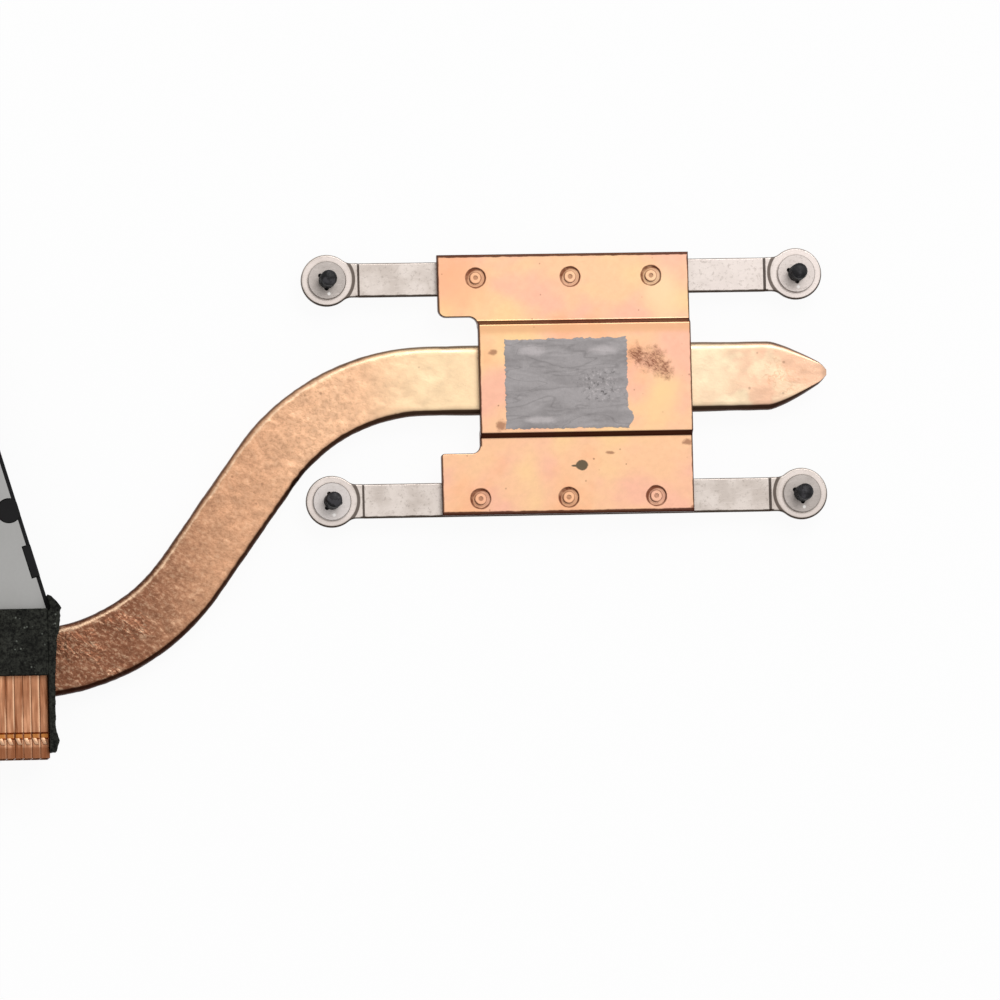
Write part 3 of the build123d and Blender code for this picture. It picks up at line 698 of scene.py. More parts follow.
@dataclass(frozen=True)
class Paste:
    """Grey thermal paste, satin where it was pressed flat, with painted shade along its ragged edge."""

    base: Colour = srgb(174, 168, 168)
    light: Colour = srgb(204, 196, 196)
    dark: Colour = srgb(154, 148, 148)
    void: Colour = srgb(96, 91, 91)
    # Tone of the painted shade along the smear's edge.
    rim: Colour = srgb(104, 82, 76)

    def make(self) -> bpy.types.Material:
        """Build the material.

        Returns:
            The material.
        """
        g = Graph("paste_grey")
        smear = g.noise(0.3, 3.0, 0.5, (0.5, 1.5, 1))
        colour = g.mix(g.band(smear, 0.32, 0.6), self.dark, self.base)
        for x, y, size in ((-4.0, 4.3, (2.3, 0.9)), (4.6, 4.3, (2.2, 0.8)), (-3.0, -4.0, (2.6, 0.6))):
            colour = g.veil(colour, self.light, g.spot(x, y, size, 0.7, 0.2, 0.9), 0.75)
        rubbed_and_sheen = g.spot(3.9, 0.0, (3.8, 3.0), 0.8, 0.3, 0.8)
        rough = g.noise(1.7, 5.0, 0.75)
        pits = g.times(g.band(rough, 0.46, 0.38), g.band(rubbed_and_sheen, 0.0, 1.0, 0.12, 0.85))
        colour = g.mix(pits, colour, self.void)
        knobs = g.times(g.band(rough, 0.54, 0.62), g.band(rubbed_and_sheen, 0.0, 1.0, 0.12, 0.9))
        colour = g.mix(knobs, colour, self.light)
        crack = g.line(g.noise(0.3, 2.0, 0.5, (0.35, 1.5, 1), 3, 0.5), 0.5, 0.014, 0.26)
        colour = g.mix(crack, colour, self.void)
        # Painted shade along the smear's ragged edge.
        colour = g.mix(g.edge_shade(0.8, 0.6, 0.7, 0.9, 0.5), colour, self.rim)
        grain = g.noise(6.0, 3.0, 0.6)
        colour = g.dim(colour, g.band(grain, 0.25, 0.75, 0.95, 1.04))
        relief = g.bump(grain, 0.01, 0.5)
        relief = g.bump(g.noise(1.8, 4.0, 0.6, (0.5, 1.6, 1)), 0.05, 0.5, relief)
        return g.finish(colour, g.band(smear, 0.3, 0.7, 0.45, 0.6), relief, specular=0.4)


@dataclass(frozen=True)
class Foam:
    """Charcoal open-cell foam with light flecks and painted shade in its pores."""

    base: Colour = srgb(46, 47, 42)
    dark: Colour = srgb(12, 12, 10)
    fleck: Colour = srgb(132, 136, 128)

    def make(self) -> bpy.types.Material:
        """Build the material.

        Returns:
            The material.
        """
        g = Graph("foam_black")
        pores = g.cells(3.4)
        grain = g.noise(2.4, 5.0, 0.75)
        colour = g.mix(g.band(grain, 0.36, 0.62), self.dark, self.base)
        # Painted shade in the pores, a little lighter on the walls between them.
        colour = g.dim(colour, g.band(pores, 0.1, 0.5, 0.55, 1.15))
        flecks = g.times(g.band(g.cells(1.5), 0.24, 0.08), g.band(g.noise(0.9, 2.0), 0.46, 0.6))
        colour = g.veil(colour, self.fleck, flecks, 0.6)
        cloud = g.noise(0.4, 3.0)
        colour = g.dim(colour, g.band(cloud, 0.3, 0.7, 0.75, 1.3))
        relief = g.bump(pores, 0.12, 0.8)
        relief = g.bump(g.noise(5.0, 4.0, 0.7), 0.05, 0.8, relief)
        return g.finish(colour, 0.94, relief, specular=0.2)


@dataclass(frozen=True)
class MouldedPlastic:
    """Moulded plastic with fine grain."""

    name: str
    base: Colour = srgb(30, 30, 32)
    light: Colour = srgb(44, 44, 46)
    rough: float = 0.52
    grain: float = 4.0
    depth: float = 0.012
    gloss: float = 0.5

    def make(self) -> bpy.types.Material:
        """Build the material.

        Returns:
            The material.
        """
        g = Graph(self.name)
        cloud = g.noise(0.12, 3.0)
        colour = g.mix(g.band(cloud, 0.35, 0.65), self.base, self.light)
        grain = g.noise(self.grain, 3.0, 0.6)
        colour = g.dim(colour, g.band(grain, 0.25, 0.75, 0.92, 1.07))
        relief = g.bump(grain, self.depth, 0.6)
        rough = g.band(cloud, 0.3, 0.7, self.rough - 0.06, self.rough + 0.06)
        return g.finish(colour, rough, relief, specular=self.gloss)


@dataclass(frozen=True)
class BlackOxide:
    """Blackened steel of the screws, with a painted grey sheen on the points."""

    base: Colour = srgb(18, 17, 19)
    light: Colour = srgb(40, 39, 41)
    rubbed_and_sheen: Colour = srgb(84, 82, 86)
    tip: float = 1.6

    def make(self) -> bpy.types.Material:
        """Build the material.

        Returns:
            The material.
        """
        g = Graph("screw_black")
        cloud = g.noise(0.8, 3.0)
        colour = g.mix(g.band(cloud, 0.4, 0.65), self.base, self.light)
        # Painted grey sheen on the screw points.
        point = g.times(g.band(g.axis("Z"), self.tip, self.tip + 0.1), g.band(g.noise(1.3, 3.0), 0.46, 0.62))
        colour = g.veil(colour, self.rubbed_and_sheen, point, 0.5)
        relief = g.bump(g.noise(3.0, 3.0, 0.6), 0.05, 0.7)
        return g.finish(colour, g.band(cloud, 0.3, 0.7, 0.3, 0.42), relief, specular=0.24)


@dataclass(frozen=True)
class SheetCover:
    """Grey coated sheet metal of the blower cover, with painted shade on its edges."""

    base: Colour = srgb(167, 166, 163)
    light: Colour = srgb(176, 175, 173)
    dark: Colour = srgb(60, 60, 60)

    def make(self) -> bpy.types.Material:
        """Build the material.

        Returns:
            The material.
        """
        g = Graph("cover_grey")
        cloud = g.noise(0.05, 3.0)
        colour = g.mix(g.band(cloud, 0.35, 0.65), self.base, self.light)
        colour = g.dim(colour, g.band(g.noise(3.0, 3.0), 0.25, 0.75, 0.985, 1.015))
        # Painted shade on slanted and side faces.
        colour = g.mix(g.edge_shade(0.6, 0.2, 0.5), colour, self.dark)
        brushed = g.noise(1.4, 3.0, 0.6, (0.1, 5, 1))
        relief = g.bump(brushed, 0.003, 0.4)
        return g.finish(colour, g.band(cloud, 0.3, 0.7, 0.44, 0.54), relief, 0.25)


@dataclass(frozen=True)
class TurnedMetal:
    """Small metal or sintered piece of the motor, with turning or stamping marks."""

    name: str
    base: Colour
    light: Colour
    rough: float = 0.4
    metallic: float = 1.0
    lines: Place = (1, 1, 6)
    depth: float = 0.01

    def make(self) -> bpy.types.Material:
        """Build the material.

        Returns:
            The material.
        """
        g = Graph(self.name)
        cloud = g.noise(0.5, 3.0)
        colour = g.mix(g.band(cloud, 0.35, 0.65), self.base, self.light)
        marks = g.noise(1.5, 4.0, 0.6, self.lines)
        colour = g.dim(colour, g.band(marks, 0.3, 0.7, 0.9, 1.08))
        relief = g.bump(marks, self.depth, 0.6)
        rough = g.band(cloud, 0.3, 0.7, self.rough - 0.05, self.rough + 0.07)
        return g.finish(colour, rough, relief, self.metallic)


class Bench:
    """Hand moves of the modelling bench: start a primitive, pick, shape, finish."""

    @staticmethod
    def clear() -> None:
        """Leave edit mode and deselect everything."""
        if bpy.context.object is not None and bpy.context.object.mode != "OBJECT":
            bpy.ops.object.mode_set(mode="OBJECT")
        bpy.ops.object.select_all(action="DESELECT")

    @classmethod
    def start(cls, kind: str, name: str, scale: Place = (1, 1, 1), **settings: object) -> bpy.types.Object:
        """Add a primitive at its place and size.

        Args:
            kind: the primitive.
            name: the new piece's name.
            scale: its scale.
            settings: what the operator takes.

        Returns:
            The object, with its place in its mesh.
        """
        cls.clear()
        getattr(bpy.ops.mesh, f"primitive_{kind}_add")(**settings)
        piece = bpy.context.object
        piece.name = name
        piece.data.name = name
        piece.scale = scale
        cls.settle(piece)
        return piece

    @classmethod
    def hold(cls, piece: bpy.types.Object) -> None:
        """Make one piece the active and only selected one.

        Args:
            piece: the piece.
        """
        cls.clear()
        piece.select_set(True)
        bpy.context.view_layer.objects.active = piece

    @classmethod
    def settle(cls, piece: bpy.types.Object) -> None:
        """Put the piece's place, turn and scale into its mesh."""
        cls.hold(piece)
        bpy.ops.object.transform_apply(location=True, rotation=True, scale=True)

    @classmethod
    def edit(cls, piece: bpy.types.Object, mode: str = "FACE") -> None:
        """Open a piece in edit mode with nothing selected.

        Args:
            piece: the piece.
            mode: what is picked, VERT, EDGE or FACE.
        """
        cls.hold(piece)
        bpy.ops.object.mode_set(mode="EDIT")
        bpy.ops.mesh.select_mode(type=mode)
        bpy.ops.mesh.select_all(action="DESELECT")

    @staticmethod
    def pick(piece: bpy.types.Object, test: Callable[[Vector], bool], kind: str = "faces") -> int:
        """Select what has its middle where a test says, in edit mode.

        Args:
            piece: the piece in edit mode.
            test: takes the middle in millimetres.
            kind: faces, edges or verts.

        Returns:
            How many are selected.
        """
        bpy.ops.mesh.select_mode(type={"faces": "FACE", "edges": "EDGE", "verts": "VERT"}[kind])
        bpy.ops.mesh.select_all(action="DESELECT")
        shape = bmesh.from_edit_mesh(piece.data)
        count = 0
        for item in getattr(shape, kind):
            if kind == "faces":
                middle = item.calc_center_median()
            elif kind == "edges":
                middle = (item.verts[0].co + item.verts[1].co) / 2
            else:
                middle = item.co
            if test(middle / MM):
                item.select_set(True)
                count += 1
        shape.select_flush_mode()
        bmesh.update_edit_mesh(piece.data)
        return count

    @classmethod
    def apply(cls, piece: bpy.types.Object, kind: str, **settings: object) -> None:
        """Add a modifier and apply it.

        Args:
            piece: the piece.
            kind: the modifier's type.
            settings: its settings.
        """
        cls.hold(piece)
        made = piece.modifiers.new(kind.lower(), kind)
        for key, value in settings.items():
            setattr(made, key, value)
        bpy.ops.object.modifier_apply(modifier=made.name)

    @classmethod
    def relief(cls, piece: bpy.types.Object, kind: Relief, grain: float, depth: float, level: float = 1.0,
               group: str = "", direction: str = "NORMAL", layers: int = 2) -> None:
        """Work a random relief into a piece.

        Args:
            piece: the piece.
            kind: the pattern.
            grain: size of its features in millimetres.
            depth: depth in millimetres.
            level: 1 only lowers the surface, 0.5 moves it both ways.
            group: vertex group that it is held to.
            direction: NORMAL, X, Y or Z.
            layers: finer layers of the pattern.
        """
        pattern = bpy.data.textures.new(f"{piece.name}_{kind.name.lower()}", kind.value)
        pattern.noise_scale = grain * MM
        if kind is Relief.CLOUDS:
            pattern.noise_depth = layers
        cls.apply(piece, "DISPLACE", texture=pattern, texture_coords="LOCAL", strength=depth * MM,
                  mid_level=level, direction=direction, vertex_group=group)
        bpy.data.textures.remove(pattern)

    @staticmethod
    def weigh(piece: bpy.types.Object, name: str, weight: Callable[[Vector], float]) -> None:
        """Paint a vertex group.

        Args:
            piece: the piece.
            name: the group's name.
            weight: takes a point in millimetres and gives its weight, which is kept between 0 and 1.
        """
        group = piece.vertex_groups.new(name=name)
        for vertex in piece.data.vertices:
            group.add([vertex.index], max(0.0, min(1.0, weight(vertex.co / MM))), "REPLACE")

    @classmethod
    def smooth(cls, piece: bpy.types.Object, angle: float = 40.0) -> None:
        """Shade a piece smooth except over sharp edges."""
        cls.hold(piece)
        bpy.ops.object.shade_smooth_by_angle(angle=math.radians(angle))

    @classmethod
    def join(cls, pieces: Sequence[bpy.types.Object], name: str) -> bpy.types.Object:
        """Join pieces into the first one.

        Args:
            pieces: what is joined.
            name: the joined piece's name.

        Returns:
            The joined piece.
        """
        cls.clear()
        for piece in pieces:
            piece.select_set(True)
        bpy.context.view_layer.objects.active = pieces[0]
        bpy.ops.object.join()
        whole = bpy.context.object
        whole.name = name
        whole.data.name = name
        return whole

    @classmethod
    def outward(cls, piece: bpy.types.Object, merge: float = 0.001) -> None:
        """Merge doubles and turn all faces outwards.

        Args:
            piece: the piece.
            merge: distance within which points merge, in millimetres.
        """
        cls.edit(piece, "VERT")
        bpy.ops.mesh.select_all(action="SELECT")
        bpy.ops.mesh.remove_doubles(threshold=merge * MM)
        bpy.ops.mesh.normals_make_consistent(inside=False)
        cls.clear()

    @classmethod
    def twin(cls, piece: bpy.types.Object, name: str, move: Place) -> bpy.types.Object:
        """Copy a piece with its own mesh to another place.

        Args:
            piece: the original.
            name: the copy's name.
            move: how far it moves, in millimetres.

        Returns:
            The copy.
        """
        cls.hold(piece)
        bpy.ops.object.duplicate(linked=False)
        copy = bpy.context.object
        copy.name = name
        copy.data.name = name
        copy.location = Vector(move) * MM
        cls.settle(copy)
        return copy


def dress(piece: bpy.types.Object, material: bpy.types.Material) -> None:
    """Give a piece one finish.

    Args:
        piece: new piece or CAD node.
        material: its finish.
    """
    if not piece.material_slots:
        piece.data.materials.append(material)
    for slot in piece.material_slots:
        slot.material = material


def dress_nodes(names: Iterable[str], material: bpy.types.Material) -> None:
    """Give CAD nodes one finish.

    Args:
        names: the nodes.
        material: their finish.
    """
    for name in names:
        dress(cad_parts[name], material)


def seat(piece: bpy.types.Object, body: str, nodes: Sequence[str] = ()) -> None:
    """Let a new piece ride on its body in place of CAD nodes.

    Args:
        piece: the piece.
        body: the body that it moves with.
        nodes: the nodes that it stands for.
    """
    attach(piece, body)
    if nodes:
        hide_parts(*nodes)
    LOG.info("%s: %d faces on %s", piece.name, len(piece.data.polygons), body)


@dataclass
class HeatPipe:
    """Flattened pipe: straight over the plate, an S bend, straight under the fins."""

    width: float = 8.4
    thick: float = 2.0
    edge_r: float = 0.9
    top: float = -1.15
    y: float = 1.02
    tip_x: float = 31.7
    taper_x: float = 24.7
    bend_x: float = -16.5
    bend_r: float = 24.2
    turn: float = 54.2
    fin_y: float = -31.9
    end_x: float = -121.7
    step: float = 0.3
    step_under_fins: float = 1.5
    edge_steps: int = 6
    flat_cuts: int = 23
    draw_high: float = 3.08
    curve_high: float = 1.33
    draw_low: float = 3.6
    curve_low: float = 1.25
    nose: float = 1.1
    nose_round: float = 0.8
    nose_thin: float = 0.25
    soldered: tuple[float, float] = (-12.0, 16.5)
    solder_fade: float = 3.0
    wrinkled_x: float = -15.0
    wrinkle_fade: float = 12.0
    dent: tuple[float, float] = (2.6, 0.12)
    wrinkle_size: tuple[float, float] = (0.75, 0.09)
    finish: PipeCopper = field(default_factory=PipeCopper)

    def ring(self, piece: bpy.types.Object, centre: Vector, ahead: Vector) -> None:
        """Select the open ring of points at one station of the run.

        Args:
            piece: the pipe in edit mode.
            centre: middle of the ring, in millimetres.
            ahead: direction of the run.
        """
        Bench.pick(piece, lambda p: abs((p - centre).dot(ahead)) < NEAR and (p - centre).length < self.width,
                   "verts")

    def run(self, piece: bpy.types.Object, start: Vector, ahead: Vector, length: float,
            step: float) -> Vector:
        """Extrude one straight run and divide it.

        Args:
            piece: the pipe in edit mode.
            start: middle of the last ring.
            ahead: direction of the run.
            length: its length.
            step: length of its divisions.

        Returns:
            Middle of the new end ring.
        """
        self.ring(piece, start, ahead)
        bpy.ops.mesh.extrude_region_move(TRANSFORM_OT_translate={"value": ahead * length * MM})
        middle = start + ahead * length / 2
        Bench.pick(piece, lambda p: abs((p - middle).dot(ahead)) < NEAR and (p - middle).length < self.width,
                   "edges")
        cuts = max(1, round(length / step) - 1)
        bpy.ops.mesh.subdivide(number_cuts=min(100, cuts))
        return start + ahead * length

    def bend(self, piece: bpy.types.Object, start: Vector, ahead: Vector,
             left: bool) -> tuple[Vector, Vector]:
        """Spin the end ring round one bend.

        Args:
            piece: the pipe in edit mode.
            start: middle of the last ring.
            ahead: direction of the run.
            left: whether the run turns to its left.

        Returns:
            Middle and direction at the new end ring.
        """
        sign = 1 if left else -1
        centre = start + sign * Vector((-ahead.y, ahead.x, 0)) * self.bend_r
        angle = sign * math.radians(self.turn)
        self.ring(piece, start, ahead)
        steps = round(abs(angle) * (self.bend_r + self.width / 2) / self.step)
        bpy.ops.mesh.spin(steps=steps, angle=-angle, center=centre * MM, axis=(0, 0, 1), use_auto_merge=False)
        cos, sin = math.cos(angle), math.sin(angle)
        arm = start - centre
        end = centre + Vector((arm.x * cos - arm.y * sin, arm.x * sin + arm.y * cos, arm.z))
        return end, Vector((ahead.x * cos - ahead.y * sin, ahead.x * sin + ahead.y * cos, 0))

    def taper(self, piece: bpy.types.Object) -> None:
        """Draw in the closed end to its tapered, rounded outline.

        Args:
            piece: the pipe.
        """
        half = self.width / 2
        length = self.tip_x - self.taper_x
        for vertex in piece.data.vertices:
            x, y = vertex.co.x / MM, vertex.co.y / MM
            if x <= self.taper_x:
                continue
            share = min(1.0, (x - self.taper_x) / length)
            high = self.y + half - self.draw_high * share ** self.curve_high
            low = self.y - half + self.draw_low * share ** self.curve_low
            nose = max(0.0, (x - self.tip_x + self.nose) / self.nose)
            close = math.sqrt(max(0.0, 1 - self.nose_round * nose * nose))
            middle, reach = (high + low) / 2, (high - low) / 2 * close
            vertex.co.y = (middle + (y - self.y) / half * reach) * MM
            level = (self.top - self.thick / 2) * MM
            vertex.co.z = level + (vertex.co.z - level) * (1 - self.nose_thin * nose ** 3)

    def build(self) -> bpy.types.Object:
        """Model the pipe.

        Returns:
            The piece.
        """
        level = self.top - self.thick / 2
        pipe = Bench.start("plane", "heat_pipe_bent", (self.thick, self.width, 1), size=MM,
                           location=(self.tip_x * MM, self.y * MM, level * MM), rotation=(0, math.pi / 2, 0))
        Bench.edit(pipe, "VERT")
        bpy.ops.mesh.select_all(action="SELECT")
        bpy.ops.mesh.bevel(offset=self.edge_r * MM, segments=self.edge_steps, affect="VERTICES")
        bpy.ops.mesh.select_all(action="SELECT")
        bpy.ops.mesh.delete(type="ONLY_FACE")
        Bench.pick(pipe, lambda p: abs(abs(p.z - level) - self.thick / 2) < NEAR / 10
                   and abs(p.y - self.y) < 1, "edges")
        bpy.ops.mesh.subdivide(number_cuts=self.flat_cuts)
        ahead = Vector((-1, 0, 0))
        place = Vector((self.tip_x, self.y, level))
        place = self.run(pipe, place, ahead, self.tip_x - self.bend_x, self.step)
        place, ahead = self.bend(pipe, place, ahead, True)
        fall = 2 * self.bend_r * (1 - math.cos(math.radians(self.turn)))
        slant = (self.y - self.fin_y - fall) / math.sin(math.radians(self.turn))
        place = self.run(pipe, place, ahead, slant, self.step)
        place, ahead = self.bend(pipe, place, ahead, False)
        place = self.run(pipe, place, ahead, place.x - self.end_x, self.step_under_fins)
        for x in (self.tip_x, self.end_x):
            Bench.pick(pipe, lambda p, x=x: abs(p.x - x) < 2 * NEAR, "verts")
            bpy.ops.mesh.edge_face_add()
        Bench.clear()
        self.taper(pipe)
        Bench.outward(pipe)
        self.wrinkle(pipe)
        Bench.smooth(pipe, 50)
        dress(pipe, self.finish.make())
        seat(pipe, "module", ["heat_pipe"])
        return pipe

    def wrinkle(self, pipe: bpy.types.Object) -> None:
        """Work the bends' wrinkles and the dents of the flattening into the wall.

        Args:
            pipe: the pipe.
        """
        def bent(point: Vector) -> float:
            """How wrinkled the wall is here."""
            return (self.wrinkled_x - point.x) / self.wrinkle_fade

        def plain(point: Vector) -> float:
            """How dented the wall is here, nothing where it is soldered to the plate."""
            start, end = self.soldered
            return max(start - point.x, point.x - end) / self.solder_fade

        Bench.weigh(pipe, "bent", bent)
        Bench.weigh(pipe, "plain", plain)
        Bench.relief(pipe, Relief.CLOUDS, *self.dent, group="plain")
        Bench.relief(pipe, Relief.CLOUDS, *self.wrinkle_size, group="bent")


@dataclass
class ColdPlate:
    """Copper plate with its smear of paste."""

    left: float = -7.4
    low: float = -5.13
    length: float = 15.2
    height: float = 11.05
    thick: float = 0.15
    long_cuts: int = 159
    high_cuts: int = 115
    side_reach: float = 3.0
    end_reach: float = 2.5
    right_gap: float = 0.3
    spill: float = 0.62
    spill_y: float = 1.3
    spill_half: float = 0.85
    slant: float = 0.012
    rim: float = 0.25
    copper: PlateCopper = field(default_factory=PlateCopper)
    paste: Paste = field(default_factory=Paste)

    def build(self) -> bpy.types.Object:
        """Dress the plate and model the paste.

        Returns:
            The paste.
        """
        dress_nodes(["cpu_plate"], self.copper.make())
        smear = self.smear()
        dress(smear, self.paste.make())
        seat(smear, "module", ["thermal_paste"])
        return smear

    def smear(self) -> bpy.types.Object:
        """Model the paste: a thin pad with ragged edges and a pulled, ridged face.

        Returns:
            The paste.
        """
        middle = Vector((self.left + self.length / 2, self.low + self.height / 2, -self.thick / 2))
        pad = Bench.start("cube", "thermal_paste_smear", (self.length, self.height, self.thick), size=MM,
                          location=middle * MM)
        Bench.edit(pad, "EDGE")
        Bench.pick(pad, lambda p: abs(p.z - middle.z) > NEAR and abs(p.x - middle.x) < 1, "edges")
        bpy.ops.mesh.subdivide(number_cuts=self.long_cuts)
        Bench.pick(pad, lambda p: abs(p.z - middle.z) > NEAR and abs(p.y - middle.y) < NEAR, "edges")
        bpy.ops.mesh.subdivide(number_cuts=self.high_cuts)
        Bench.clear()
        for vertex in pad.data.vertices:
            vertex.co = self.ragged(vertex.co / MM) * MM
        Bench.outward(pad, 0.0001)
        Bench.smooth(pad, 60)
        return pad

    def ragged(self, point: Vector) -> Vector:
        """Pull one point of the pad to where the paste really ends or rises.

        Args:
            point: the point of the plain pad, in millimetres.

        Returns:
            The point of the smear, in millimetres.
        """
        right, high = self.left + self.length, self.low + self.height
        x, y, z = point
        for side in (-1, 1):
            edge = self.left if side < 0 else right - self.right_gap
            pull = 0.1 + 0.25 * noise.noise((side * 9, y * 1.1, 0))
            pull += 0.2 * noise.noise((side * 5, y * 3.6, 2))
            off = (y - self.low - self.spill_y) / self.spill_half
            spill = self.spill * math.exp(-off ** 4) if side > 0 else 0.0
            reach = edge - side * max(0.0, pull) + spill
            share = max(0.0, 1 - abs(x - (self.left if side < 0 else right)) / self.side_reach)
            x += share * (reach - (self.left if side < 0 else right))
        for side in (-1, 1):
            edge = self.low if side < 0 else high
            pull = 0.1 + 0.2 * noise.noise((x * 0.9, side * 7, 1))
            pull += 0.16 * noise.noise((x * 3.2, side * 3, 4))
            tilt = self.slant * (right - x) if side > 0 else 0.0
            share = max(0.0, 1 - abs(y - edge) / self.end_reach)
            y -= share * side * max(0.0, pull + tilt)
        if z > -self.thick / 2:
            ridge = abs(noise.noise((x * 0.35 + 3, y * 1.25 + noise.noise((x * 0.5, y, 3)), 0)))
            grain = noise.noise((x * 2.6, y * 2.6, 5))
            rim = min(point.x - self.left, right - point.x, point.y - self.low, high - point.y) / self.rim
            rise = self.thick - 0.01 - 0.05 * min(1.0, 2.2 * ridge) - 0.02 * abs(grain)
            z = -self.thick + rise * (0.45 + 0.55 * min(1.0, rim))
        return Vector((x, y, z))


@dataclass
class FoldedFins:
    """Row of folded copper fins that butt and hook together."""

    right: float = -62.762
    count: int = 63
    pitch: float = 1.0
    top: float = 3.0
    low: float = -3.15
    back: float = -26.0
    front: float = -43.3
    notch_back: float = -27.5
    notch_front: float = -36.3
    notch_top: float = -1.15
    divisions: tuple[float, ...] = (-30.0, -33.0, -38.5)
    lock: float = -41.1
    lock_long: float = 0.9
    lock_ramp: float = 0.2
    lock_deep: float = 0.3
    hook: Place = (0.56, 0.84, 0.26)
    hook_slant: float = 0.36
    hook_round: float = 0.12
    gap: float = 0.008
    fold_r: float = 0.12
    wave: tuple[float, float] = (1.7, 0.07)
    stand: float = 0.15
    sheet: float = 0.12
    finish: FinCopper = field(default_factory=FinCopper)

    def build(self) -> bpy.types.Object:
        """Model one fin and set it in a row.

        Returns:
            The stack.
        """
        first = self.fin()
        row = [first, self.tab()]
        for number in range(1, self.count):
            for piece in row[:2]:
                row.append(Bench.twin(piece, f"{piece.name}_{number}", (-number * self.pitch, 0, 0)))
        stack = Bench.join(row, "fin_stack_folded")
        Bench.relief(stack, Relief.CLOUDS, *self.wave, level=0.9, direction="Z")
        self.trim(stack)
        Bench.smooth(stack, 35)
        dress(stack, self.finish.make())
        seat(stack, "module", ["fin_stack"])
        return stack

    def trim(self, stack: bpy.types.Object) -> None:
        """Keep the relief inside the stack's real height."""
        for vertex in stack.data.vertices:
            vertex.co.z = max(self.low * MM, min((self.top + self.stand) * MM, vertex.co.z))

    def fin(self) -> bpy.types.Object:
        """Model one fin: top flange, web with the pipe's notch, lower flanges.

        Returns:
            The fin.
        """
        wide = self.pitch - self.gap
        skin = self.top - self.sheet / 2
        middle = (self.back + self.front) / 2
        fin = Bench.start("plane", "fin", (wide, self.back - self.front, 1), size=MM,
                          location=((self.right - self.sheet / 2 - wide / 2) * MM, middle * MM, skin * MM))
        edge = self.right - self.sheet / 2
        Bench.edit(fin, "EDGE")
        Bench.pick(fin, lambda p: abs(p.x - edge) < NEAR, "edges")
        drop = skin - self.low - self.sheet / 2
        bpy.ops.mesh.extrude_region_move(TRANSFORM_OT_translate={"value": (0, 0, -drop * MM)})
        lock_end = self.lock + self.lock_long
        for y in (self.notch_back, self.notch_front, self.lock, lock_end,
                  self.lock + self.lock_ramp, lock_end - self.lock_ramp, *self.divisions):
            bpy.ops.mesh.select_all(action="SELECT")
            bpy.ops.mesh.bisect(plane_co=(0, y * MM, 0), plane_no=(0, 1, 0))
        bpy.ops.mesh.select_all(action="SELECT")
        bpy.ops.mesh.bisect(plane_co=(0, 0, (self.notch_top + self.sheet) * MM), plane_no=(0, 0, 1))
        Bench.pick(fin, lambda p: self.notch_front < p.y < self.notch_back and p.z < self.notch_top)
        bpy.ops.mesh.delete(type="FACE")
        Bench.pick(fin, lambda p: abs(p.z - self.low - self.sheet / 2) < NEAR, "edges")
        bpy.ops.mesh.extrude_region_move(TRANSFORM_OT_translate={"value": (-wide * MM, 0, 0)})
        Bench.pick(fin, lambda p: self.notch_front < p.y < self.notch_back
                   and abs(p.z - self.notch_top - self.sheet) < NEAR and abs(p.x - edge) < NEAR, "edges")
        bpy.ops.mesh.extrude_region_move(TRANSFORM_OT_translate={"value": (-wide * MM, 0, 0)})
        Bench.pick(fin, lambda p: abs(p.x - edge) < NEAR and abs(p.z - skin) < NEAR, "edges")
        bpy.ops.mesh.bevel(offset=self.fold_r * MM, segments=3, affect="EDGES")
        Bench.pick(fin, lambda p: p.z > self.top / 2 and p.x < edge - 0.1
                   and self.lock + self.lock_ramp / 2 < p.y < lock_end - self.lock_ramp / 2, "verts")
        bpy.ops.transform.translate(value=(0, 0, -self.lock_deep * MM))
        Bench.clear()
        Bench.apply(fin, "SOLIDIFY", thickness=self.sheet * MM, offset=0)
        Bench.outward(fin, 0.0005)
        return fin

    def tab(self) -> bpy.types.Object:
        """Model the hook of one fin: a small slanted tongue with a rounded back.

        Returns:
            The tongue.
        """
        middle = self.lock - self.lock_ramp
        centre = ((self.right - self.pitch / 2) * MM, middle * MM, (self.top + 0.02) * MM)
        tab = Bench.start("cube", "fin_hook", self.hook, size=MM, location=centre)
        Bench.edit(tab, "VERT")
        Bench.pick(tab, lambda p: p.y > middle, "verts")
        bpy.ops.transform.translate(value=(-self.hook_slant * MM, 0, 0))
        bpy.ops.mesh.select_all(action="SELECT")
        bpy.ops.mesh.bevel(offset=self.hook_round * MM, segments=2, affect="EDGES")
        Bench.clear()
        return tab


